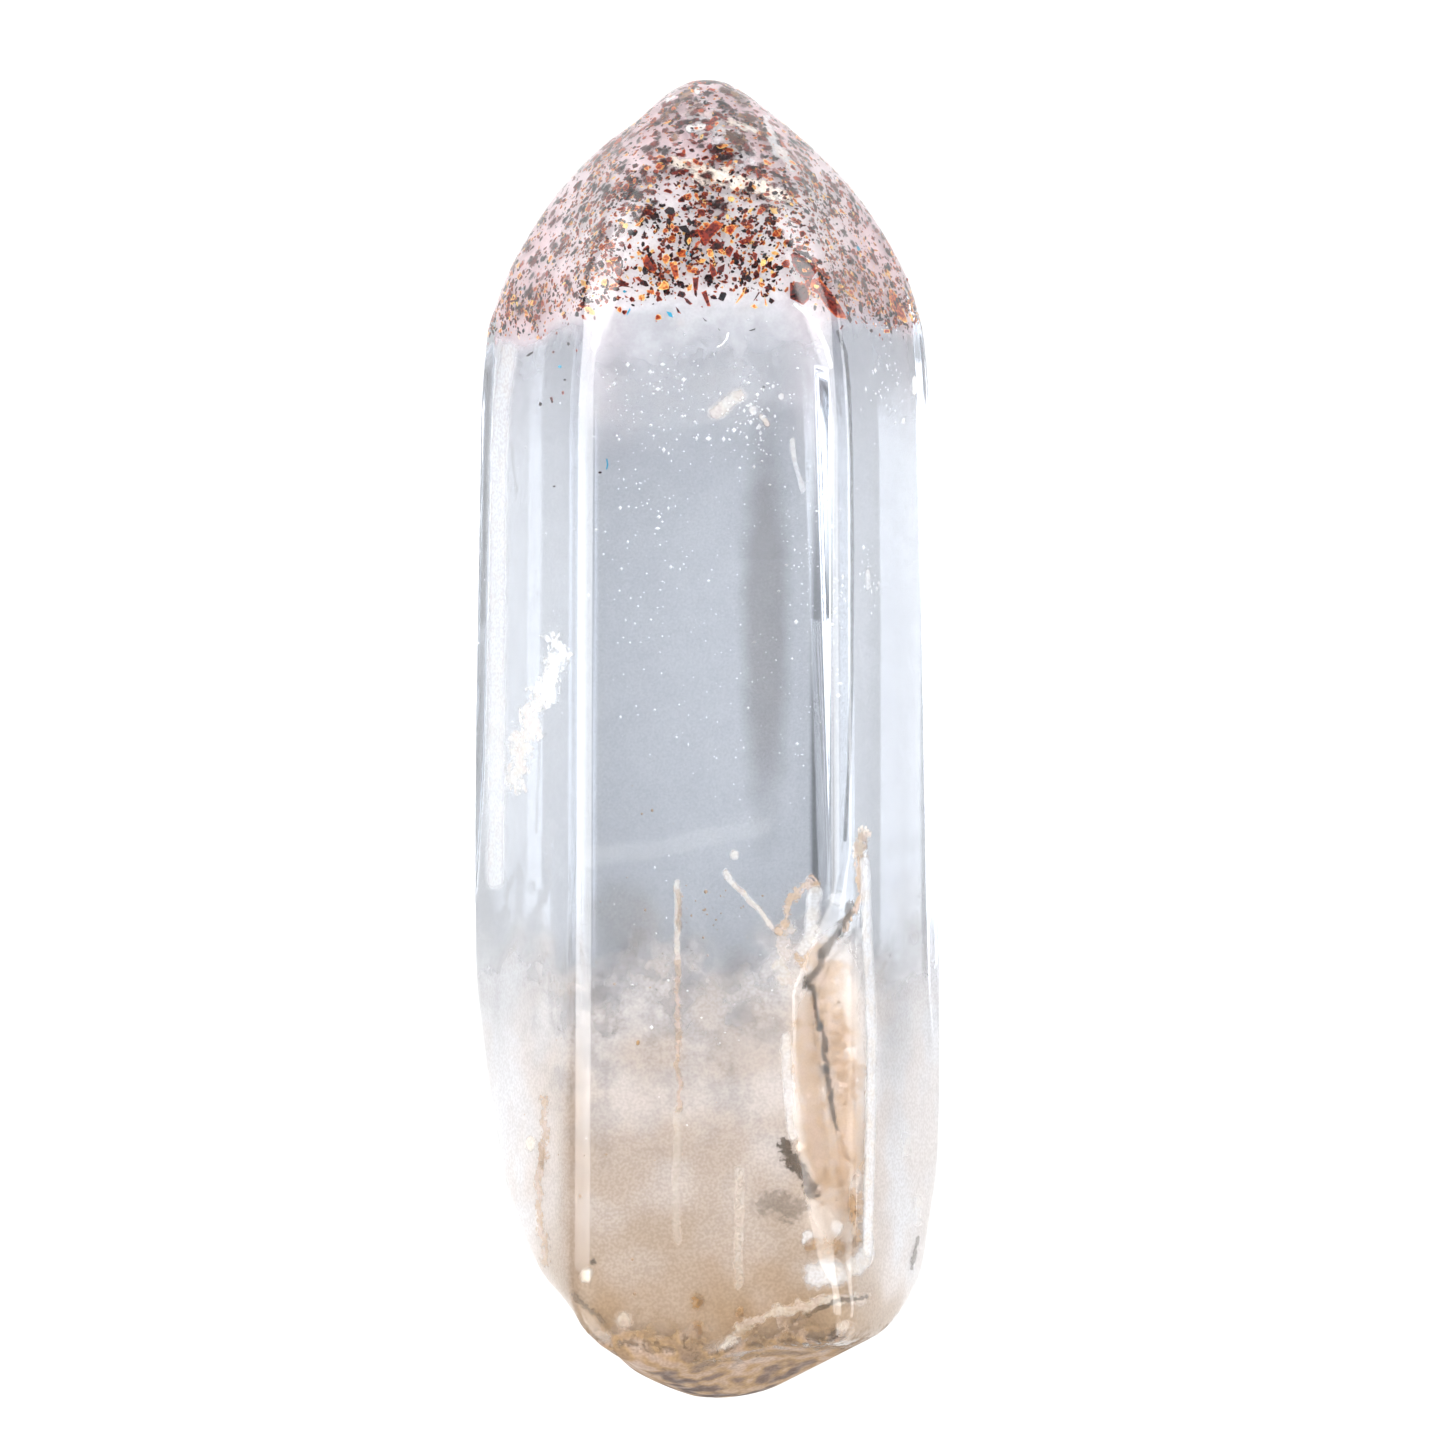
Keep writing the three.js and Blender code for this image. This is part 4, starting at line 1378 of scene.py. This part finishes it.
@dataclass
class FilmGroup:
    """Films of one kind, joined in one piece."""

    name: str
    films: tuple[Film, ...]
    finish: FilmFinish
    sight: Sight = field(default_factory=Sight)
    seed: int = 53
    step: float = 2.0
    lanes: int = 9

    @staticmethod
    def on_path(path: Array, lengths: Array, where: Array) -> Array:
        """Gives the pixels of a path at lengths along it."""
        return np.stack([np.interp(where, lengths, path[:, axis]) for axis in (0, 1)], -1)

    def build(self) -> bpy.types.Object:
        """Builds every film as a sheet that follows the skin at its depth, of uneven width.

        Returns:
            The films as one object.
        """
        gathered = Grains()
        for number, film in enumerate(self.films):
            path = np.array(film.path, float)
            lengths = np.concatenate([[0], np.cumsum(np.linalg.norm(np.diff(path, axis=0), axis=1))])
            rows = max(4, int((lengths[-1] + 2 * film.half_width) / self.step) + 1)
            along = np.linspace(-film.half_width, lengths[-1] + film.half_width, rows)
            within = np.clip(along, 0, lengths[-1])
            middle = self.on_path(path, lengths, within)
            before = self.on_path(path, lengths, np.maximum(within - 1, 0))
            after = self.on_path(path, lengths, np.minimum(within + 1, lengths[-1]))
            forward = unit(after - before)
            middle = middle + forward * (along - within)[:, None]
            side = np.stack([-forward[:, 1], forward[:, 0]], -1)
            lane = np.linspace(-1, 1, self.lanes)
            rng = np.random.default_rng(self.seed + number)
            knots = np.linspace(along[0], along[-1], max(3, int(rows * self.step / 9)))
            swell = np.interp(along, knots, 1 + film.torn * rng.uniform(-0.4, 0.25, len(knots)))[:, None]
            sway = np.interp(along, knots, film.torn * rng.normal(0, 0.22, len(knots)))[:, None]
            pixels = middle[:, None] + side[:, None] * ((lane * swell + sway) * film.half_width)[..., None]
            points, _ = self.sight.below_skin(pixels.reshape(-1, 2), film.depth)
            past_end = np.abs(along - within)[:, None] / film.half_width
            strength = np.clip(1 - np.sqrt(lane[None] ** 2 + past_end**2), 0, 1) * 1.15
            grid = np.arange(rows * self.lanes).reshape(rows, self.lanes)
            faces = np.stack([grid[:-1, :-1], grid[:-1, 1:], grid[1:, 1:], grid[1:, :-1]], -1).reshape(-1, 4)
            gathered.add(
                points, faces.tolist(), tone=film.tone.value, strength=strength.reshape(-1),
                opacity=film.opacity, torn=film.torn,
            )
        return gathered.join(self.name)

    def dress(self, films: bpy.types.Object) -> None:
        """Gives the films their finish and their place in the frame."""
        films.data.polygons.foreach_set("use_smooth", [True] * len(films.data.polygons))
        settle(films, self.finish.make())


# White veils, scratches and spots in the crystal, with painted highlights among them along the edges and on
# the base.
VEILS_AND_PAINTED_HIGHLIGHTS = (
    Film(((718, 347), (722, 345), (727, 339), (728, 333)), 1.8, FilmTone.MILK, 1.0, 0.04),
    Film(((556, 646), (550, 670), (544, 695)), 18, FilmTone.MILK, 0.75, 0.2),
    Film(((536, 700), (524, 740), (513, 780)), 18, FilmTone.CREAM, 0.5, 0.25),
    Film(((590, 856), (660, 848), (760, 826)), 16, FilmTone.MILK, 0.09, 0.6, 0.5),
    Film(((596, 396), (640, 400), (690, 400), (735, 392)), 46, FilmTone.MILK, 0.11, 0.7, 0.3),
    Film(((716, 412), (728, 404), (738, 396)), 12, FilmTone.CREAM, 0.45, 0.3, 0.3),
    spot(753, 411, 6, 7, FilmTone.MILK, 0.6, 0.2),
    Film(((761, 417), (767, 424)), 5, FilmTone.CREAM, 0.55, 0.2, 0.4),
    spot(781, 396, 5, 5, FilmTone.MILK, 0.45, 0.2),
    spot(773, 386, 3, 3, FilmTone.MILK, 0.6, 0.15),
    spot(764, 387, 2, 2, FilmTone.SMOKE, 0.6, 0.12),
    # Painted highlight: the curved bright line where the right edge meets the point.
    Film(((795, 304), (806, 313), (815, 323), (820, 333), (827, 350), (831, 366)), 4,
         FilmTone.MILK, 0.7, 0.04, 0.1),
    # Painted highlight: a pale band along the left rim.
    Film(((508, 350), (501, 400), (498, 480), (497, 640), (496, 780), (495, 880)), 15,
         FilmTone.MILK, 0.4, 0.12, 0.1),
    Film(((792, 440), (797, 470), (803, 490)), 4, FilmTone.MILK, 0.4, 0.1),
    # Painted highlight: the bright line along the point's right edge.
    Film(((767, 120), (771, 136), (779, 149), (789, 168)), 9, FilmTone.MILK, 0.6, 0.12),
    # Painted reflection: the cream glint of a fracture plane in the point.
    Film(((700, 172), (725, 177), (750, 183), (782, 194)), 13, FilmTone.CREAM, 0.95, 0.2),
    Film(((674, 160), (700, 168)), 9, FilmTone.CREAM, 0.9, 0.2),
    Film(((702, 118), (722, 132), (742, 152)), 24, FilmTone.MILK, 0.6, 0.4),
    Film(((690, 128), (702, 126)), 6, FilmTone.MILK, 0.8, 0.16),
    Film(((668, 101), (674, 98)), 4, FilmTone.MILK, 0.8, 0.12),
    spot(697, 91, 5, 4, FilmTone.MILK, 0.8, 0.12),
    Film(((730, 122), (755, 130)), 5, FilmTone.CREAM, 0.7, 0.16),
    spot(735, 855, 8, 7, FilmTone.CREAM, 0.5, 0.1),
    Film(((785, 930), (782, 955), (786, 980)), 15, FilmTone.CREAM, 0.35, 0.08),
    # Painted highlight: bright patches where the right edge meets the ledge.
    Film(((816, 893), (812, 922), (803, 950)), 12, FilmTone.MILK, 0.5, 0.05, 0.4),
    spot(838, 900, 12, 11, FilmTone.MILK, 0.35, 0.05),
    # Painted highlight: the bright line along the ledge's left crest.
    Film(((786, 1038), (788, 1086), (793, 1136)), 9, FilmTone.MILK, 0.5, 0.05, 0.3),
    # Painted highlight: the bright line along the ledge's right crest.
    Film(((865, 862), (867, 922), (870, 984), (872, 1040), (871, 1130), (869, 1190), (868, 1252)), 8,
         FilmTone.MILK, 0.72, 0.04, 0.12),
    spot(800, 1147, 7, 8, FilmTone.CREAM, 0.8, 0.06),
    # Painted highlights: glints on small facets at the base.
    spot(807, 1238, 8, 12, FilmTone.MILK, 0.6, 0.06),
    spot(836, 1228, 11, 9, FilmTone.MILK, 0.6, 0.06),
    Film(((816, 1275), (836, 1273)), 20, FilmTone.MILK, 0.6, 0.06, 0.3),
    Film(((856, 1266), (866, 1256)), 15, FilmTone.MILK, 0.55, 0.06, 0.3),
    spot(906, 1144, 8, 16, FilmTone.MILK, 0.4, 0.1),
    spot(918, 1210, 7, 18, FilmTone.MILK, 0.45, 0.1),
    spot(915, 385, 3.5, 11, FilmTone.MILK, 1.0, 0.05),
    spot(904, 421, 2.5, 4, FilmTone.MILK, 1.0, 0.05),
    spot(868, 580, 4, 12, FilmTone.MILK, 0.5, 0.1),
    spot(530.5, 1144, 8, 11, FilmTone.CREAM, 0.7, 0.1),
    spot(585.6, 1275, 11, 8, FilmTone.CREAM, 0.8, 0.1),
    spot(624, 1320, 14, 10, FilmTone.CREAM, 0.5, 0.1),
    Film(((677, 882), (677, 920), (677, 962)), 5, FilmTone.CREAM, 0.45, 0.14, 0.5),
    Film(((725, 873), (738, 890), (758, 907), (773, 928)), 5, FilmTone.CREAM, 0.5, 0.12, 0.7),
    Film(((864, 1297), (820, 1303), (781, 1312), (742, 1326), (724, 1346)), 9, FilmTone.CREAM, 0.5, 0.1),
    spot(844, 1330, 14, 10, FilmTone.CREAM, 0.45, 0.1),
    spot(666, 1366, 18, 9, FilmTone.CREAM, 0.45, 0.1),
    Film(((740, 1170), (739, 1230), (738, 1285)), 8, FilmTone.CREAM, 0.3, 0.13, 0.6),
    Film(((677, 1110), (676, 1170), (677, 1240)), 7, FilmTone.CREAM, 0.25, 0.13, 0.6),
)

# Iron and clay stains, with one painted dark line along the right edge.
STAINS_AND_PAINTED_SHADE = (
    Film(((677, 962), (678, 1040), (679, 1110)), 5, FilmTone.SAND, 0.4, 0.12, 0.6),
    Film(((679, 890), (680, 930)), 5, FilmTone.OCHRE, 0.35, 0.13),
    Film(((544, 1098), (543, 1126), (544, 1156), (539, 1178), (540, 1208), (544, 1239), (548, 1262)), 7,
         FilmTone.SAND, 0.5, 0.12),
    Film(((543, 1150), (543, 1164)), 7, FilmTone.OCHRE, 0.4, 0.11),
    spot(580, 1196, 4, 4, FilmTone.OCHRE, 0.6, 0.1),
    spot(592.5, 1262, 5, 5, FilmTone.SMOKE, 0.55, 0.1),
    # Painted shade: a dark line along the right edge, beside its highlight.
    Film(((838, 332), (846, 352), (849, 385), (851.5, 450), (852.5, 560), (852, 680), (849, 770), (845, 840)),
         3.2, FilmTone.SMOKE, 0.55, 0.05, 0.15),
    spot(637.7, 1043, 3, 3, FilmTone.OCHRE, 0.8, 0.1),
    Film(((861, 832), (861, 858)), 9, FilmTone.CREAM, 0.8, 0.06),
    Film(((861, 836), (861, 858)), 8, FilmTone.OCHRE, 0.4, 0.05),
    Film(((862, 861), (860, 886), (857, 907), (850, 916), (845, 930)), 7, FilmTone.SAND, 0.85, 0.05),
    Film(((782, 930), (790, 905), (804, 886), (814, 884)), 9, FilmTone.SAND, 0.6, 0.07),
    Film(((826, 960), (838, 1060), (846, 1130), (852, 1200)), 30, FilmTone.SAND, 0.55, 0.09),
    Film(((806, 1010), (808, 1070), (814, 1130), (822, 1190)), 22, FilmTone.SAND, 0.45, 0.09),
    Film(((836, 1020), (842, 1060), (850, 1100)), 14, FilmTone.OCHRE, 0.3, 0.08),
    Film(((841, 1139), (845, 1178), (855, 1209), (858, 1240)), 8, FilmTone.OCHRE, 0.55, 0.06),
    Film(((812, 1247), (848, 1247)), 11, FilmTone.OCHRE, 0.5, 0.05),
    Film(((766, 1204), (799, 1206)), 18, FilmTone.CLAY, 0.25, 0.13),
    Film(((784, 1146), (795, 1162), (806, 1178), (812, 1190)), 12, FilmTone.CLAY, 0.75, 0.08),
    spot(695, 1302, 12, 12, FilmTone.OCHRE, 0.6, 0.12),
    spot(698, 1328, 10, 11, FilmTone.OCHRE, 0.55, 0.12),
    spot(740, 1312, 8, 8, FilmTone.OCHRE, 0.5, 0.12),
    spot(719, 1363, 8, 5, FilmTone.OCHRE, 0.6, 0.1),
    Film(((735, 1180), (735, 1230), (734, 1280)), 3, FilmTone.SAND, 0.5, 0.3),
    Film(((794, 1322), (815, 1310), (834, 1302), (866, 1297)), 4, FilmTone.CLAY, 0.5, 0.08),
    Film(((572, 1294), (598, 1315), (630, 1355), (646, 1366)), 4, FilmTone.CLAY, 0.4, 0.08),
    Film(((650, 1372), (700, 1386), (750, 1384), (790, 1364), (835, 1338)), 11, FilmTone.CLAY, 0.45, 0.1),
    Film(((755, 1362), (785, 1358)), 10, FilmTone.CLAY, 0.5, 0.12),
    Film(((919, 1238), (916, 1252), (913, 1268)), 3, FilmTone.CLAY, 0.55, 0.05),
    Film(((770, 1225), (790, 1260), (780, 1290)), 20, FilmTone.CLAY, 0.18, 0.3),
    Film(((724, 90), (736, 94)), 7, FilmTone.RUST, 0.84, 0.1),
    spot(743, 100, 9, 8, FilmTone.RUST, 0.5, 0.15),
    Film(((728, 105), (718, 107)), 3, FilmTone.SMOKE, 0.6, 0.1),
    spot(695, 99, 4, 4, FilmTone.SMOKE, 0.7, 0.1),
    Film(((690, 92), (680, 100), (672, 110), (664, 118)), 6, FilmTone.RUST, 0.77, 0.15),
    Film(((742, 116), (752, 118)), 8, FilmTone.RUST, 0.95, 0.12),
    Film(((730, 134), (742, 140)), 9, FilmTone.RUST, 0.95, 0.12),
    spot(675, 137, 6, 6, FilmTone.RUST, 0.84, 0.1),
    spot(690, 112, 8, 7, FilmTone.RUST, 0.5, 0.2),
    Film(((700, 105), (712, 118)), 10, FilmTone.ROSE, 0.5, 0.25),
    Film(((760, 124), (766, 134)), 5, FilmTone.RUST, 0.7, 0.12),
)

SEAM = (
    Film(((852, 905), (846, 920), (838, 934), (828, 946), (822, 954)), 7, FilmTone.CLAY, 0.65, 0.04),
    Film(((822, 954), (820, 966), (813, 977), (805, 985)), 7, FilmTone.CLAY, 0.65, 0.04),
    Film(((808, 984), (815, 994), (818, 1010), (821, 1028)), 4.5, FilmTone.CLAY, 0.75, 0.04),
    Film(((821, 1028), (824, 1045), (826, 1070), (831, 1100), (837, 1130)), 4.5, FilmTone.CLAY, 0.75, 0.04),
    spot(825, 1070, 6, 7, FilmTone.SMOKE, 0.8, 0.035),
    spot(820, 1026, 5, 6, FilmTone.SMOKE, 0.6, 0.035),
    spot(830, 1098, 5, 6, FilmTone.SMOKE, 0.6, 0.035),
    spot(840, 934, 6, 6, FilmTone.SMOKE, 0.6, 0.035),
)


class SpeckTone(Enum):
    """The two colours of specks."""

    PALE = 0.1
    TAN = 0.9


@dataclass(frozen=True)
class SpeckFinish:
    """Bright pits and dust, and a few tan grains."""

    pale: tuple[float, float, float] = (0.95, 0.96, 0.98)
    tan: tuple[float, float, float] = (0.42, 0.30, 0.2)

    def make(self) -> bpy.types.Material:
        """Builds the material.

        Returns:
            The specks' material.
        """
        material, graph = new_material("pale_specks")
        tone = graph.node("ShaderNodeAttribute", attribute_name="tone").outputs["Fac"]
        place = graph.node("ShaderNodeTexCoord").outputs["Object"]
        place = graph.vector_math("MULTIPLY", place, (1000.0, 1000.0, 1000.0))
        cloud = graph.noise(place, 15.0)
        colour = graph.blend(graph.rise(tone, 0.3, 0.7), self.pale, self.tan)
        colour = graph.blend(graph.rise(cloud, 0.3, 0.7), colour, (0.85, 0.85, 0.85), mode="MULTIPLY")
        surface = graph.node("ShaderNodeBsdfPrincipled", {"Base Color": colour})
        graph.feed(surface.inputs["Roughness"], graph.math("MULTIPLY_ADD", cloud, 0.3, 0.4))
        graph.node("ShaderNodeOutputMaterial", {"Surface": surface.outputs["BSDF"]})
        return material


@dataclass(frozen=True)
class SpeckPatch:
    """A patch of specks, by the pixels of the photograph round which they are scattered."""

    centre: tuple[float, float]
    spread: tuple[float, float]
    count: int
    tone: SpeckTone = SpeckTone.PALE
    size: float = 0.02


SPECK_PATCHES = (
    SpeckPatch((665, 400), (35, 40), 70),
    SpeckPatch((755, 420), (20, 35), 70),
    SpeckPatch((640, 560), (35, 90), 60),
    SpeckPatch((720, 620), (70, 150), 120, size=0.014),
    SpeckPatch((800, 560), (14, 110), 50, size=0.016),
    SpeckPatch((838, 620), (4, 60), 26),
    SpeckPatch((885, 372), (10, 28), 34, size=0.028),
    SpeckPatch((870, 580), (6, 20), 16, size=0.024),
    SpeckPatch((553, 662), (7, 16), 60, size=0.022),
    SpeckPatch((520, 745), (9, 26), 40, size=0.02),
    SpeckPatch((715, 905), (25, 14), 22, SpeckTone.TAN, 0.018),
    SpeckPatch((620, 1000), (60, 160), 24, SpeckTone.TAN, 0.016),
    SpeckPatch((705, 1010), (60, 90), 30, size=0.016),
    SpeckPatch((525, 570), (25, 130), 30, size=0.014),
    SpeckPatch((830, 1060), (14, 60), 26, SpeckTone.TAN, 0.02),
)


@dataclass
class SpeckGroup:
    """Tiny pits, bubbles and dust grains just under the skin."""

    sight: Sight = field(default_factory=Sight)
    patches: tuple[SpeckPatch, ...] = SPECK_PATCHES
    seed: int = 19
    depths: tuple[float, float] = (0.1, 0.25)
    largest: float = 0.08
    count_scale: float = 1.6
    size_scale: float = 1.5

    def build(self) -> bpy.types.Object:
        """Builds the specks as small eight-sided grains.

        Returns:
            The specks as one object.
        """
        rng = np.random.default_rng(self.seed)
        corners = np.array([(1, 0, 0), (-1, 0, 0), (0, 1, 0), (0, -1, 0), (0, 0, 1), (0, 0, -1)], float)
        faces = [[0, 2, 4], [2, 1, 4], [1, 3, 4], [3, 0, 4], [2, 0, 5], [1, 2, 5], [3, 1, 5], [0, 3, 5]]
        gathered = Grains()
        for patch in self.patches:
            count = round(patch.count * self.count_scale)
            pixels = np.array(patch.centre) + rng.normal(size=(count, 2)) * np.array(patch.spread) * 0.9
            depth = rng.uniform(*self.depths, count)
            points, _ = self.sight.below_skin(pixels, depth)
            sizes = patch.size * self.size_scale * rng.lognormal(0, 0.4, (count, 1, 1))
            sizes = sizes * rng.uniform(0.5, 1.2, (count, 1, 3))
            for point, shape in zip(points, corners * np.minimum(sizes, self.largest)):
                gathered.add(point + shape, faces, tone=patch.tone.value)
        return gathered.join("pits_and_dust")

    def dress(self, specks: bpy.types.Object) -> None:
        """Gives the specks their finish and their place in the frame."""
        settle(specks, SpeckFinish().make())


@dataclass(frozen=True)
class Window:
    """A soft bright window of the room. Degrees from overhead towards one side, and along the crystal."""

    side: int
    low: float
    high: float
    baseward: float
    pointward: float
    strength: float
    edge: float = 3.0


@dataclass(frozen=True)
class Studio:
    """The pale floor, the soft light and the camera."""

    photo: PhotoFrame = field(default_factory=PhotoFrame)
    floor_z: float = -0.02
    floor_half_width: float = 3000.0
    floor_tone: tuple[float, float, float] = (0.55, 0.55, 0.55)
    sky_overhead: float = 0.2
    sky_low: float = 0.42
    windows: tuple[Window, ...] = (
        Window(-1, 8, 66, -3.4, 26, 7.0),
        Window(1, 8, 41, -15, 28, 6.2),
        Window(1, 77, 90, -15, 15, 5.4),
        Window(-1, 22, 84, 28, 68, 5.0, 9.0),
        Window(1, 24, 84, 32, 68, 5.0, 9.0),
        Window(-1, 20, 82, -68, -24, 5.0, 9.0),
        Window(1, 20, 82, -68, -24, 5.0, 9.0),
    )

    def build(self) -> None:
        """Builds the floor, the room and the camera, and sets how light is followed."""
        self.floor()
        self.room()
        self.camera()
        view = bpy.context.scene.view_settings
        view.view_transform = "Standard"
        view.exposure = 0.0
        cycles = bpy.context.scene.cycles
        cycles.max_bounces = 14
        cycles.transmission_bounces = 12
        cycles.diffuse_bounces = 3
        cycles.glossy_bounces = 5
        cycles.transparent_max_bounces = 32
        cycles.use_denoising = True

    def floor(self) -> None:
        """Lays the floor just under the crystal."""
        w, z = self.floor_half_width, self.floor_z
        corners = np.array([(-w, -w, z), (w, -w, z), (w, w, z), (-w, w, z)]) * MM
        mesh = bpy.data.meshes.new("floor")
        mesh.from_pydata(corners.tolist(), [], [(0, 1, 2, 3)])
        floor = bpy.data.objects.new("floor", mesh)
        bpy.context.scene.collection.objects.link(floor)
        material, graph = new_material("pale_floor")
        surface = graph.node("ShaderNodeBsdfDiffuse", {"Color": self.floor_tone})
        graph.node("ShaderNodeOutputMaterial", {"Surface": surface.outputs[0]})
        mesh.materials.append(material)

    def room(self) -> None:
        """Fills the room with soft light, dimmer overhead, and bright windows on both sides."""
        world = bpy.data.worlds.new("soft_room")
        world.use_nodes = True
        graph = Graph(world.node_tree)
        way = graph.node("ShaderNodeTexCoord").outputs["Generated"]
        split = graph.node("ShaderNodeSeparateXYZ", {"Vector": way})
        x, y, z = (split.outputs[name] for name in "XYZ")
        sideways = graph.math("DEGREES", graph.math("ARCTAN2", x, z))
        along = graph.math("DEGREES", graph.math("ARCSINE", y))
        sinking = graph.rise(z, 1.0, 0.3)
        glow = graph.math("MULTIPLY_ADD", sinking, self.sky_low - self.sky_overhead, self.sky_overhead)
        for window in self.windows:
            angle = graph.math("MULTIPLY", sideways, float(window.side))
            share = graph.math(
                "MULTIPLY",
                graph.rise(angle, window.low - window.edge, window.low + window.edge),
                graph.rise(angle, window.high + window.edge, window.high - window.edge),
            )
            near, far = window.edge / 3, window.edge * 1.6
            baseward = graph.rise(along, window.baseward - near, window.baseward + near)
            pointward = graph.rise(along, window.pointward + far, window.pointward - far)
            share = graph.math("MULTIPLY", graph.math("MULTIPLY", share, baseward), pointward)
            glow = graph.math("MULTIPLY_ADD", share, window.strength, glow)
        light = graph.node("ShaderNodeBackground", {"Color": (1.0, 1.0, 1.0), "Strength": glow})
        graph.node("ShaderNodeOutputWorld", {"Surface": light.outputs[0]})
        bpy.context.scene.world = world

    def camera(self) -> None:
        """Sets the camera over the crystal with the point at the top of the picture."""
        data = bpy.data.cameras.new("camera")
        data.lens = self.photo.lens
        data.sensor_width = self.photo.sensor
        data.clip_start = 0.001
        camera = bpy.data.objects.new("camera", data)
        camera.location = tuple(self.photo.eye() * MM)
        bpy.context.scene.collection.objects.link(camera)
        bpy.context.scene.camera = camera


def main() -> None:
    """Builds and dresses every piece in order."""
    logging.basicConfig(level=logging.INFO, format="%(message)s")
    Studio().build()
    crystal = ClearCrystal()
    crystal.dress(crystal.build())
    cap = FlakeCap()
    cap.dress(*cap.build())
    for maker in (
        BladeGroup(),
        PointHaze(),
        SoftFlakes(),
        BaseStain(),
        BaseCrust(),
        FilmGroup("veils_and_painted_highlights", VEILS_AND_PAINTED_HIGHLIGHTS, FilmFinish("veil_and_highlight_film", 5.0, 0.6)),
        FilmGroup("stains_and_painted_shade", STAINS_AND_PAINTED_SHADE, FilmFinish("stain_and_shade_film", 7.0, 0.8)),
        FilmGroup("clay_seam", SEAM, FilmFinish("clay_in_crack", 8.0, 0.7)),
        SpeckGroup(),
    ):
        maker.dress(maker.build())


if __name__ == "__main__":
    main()
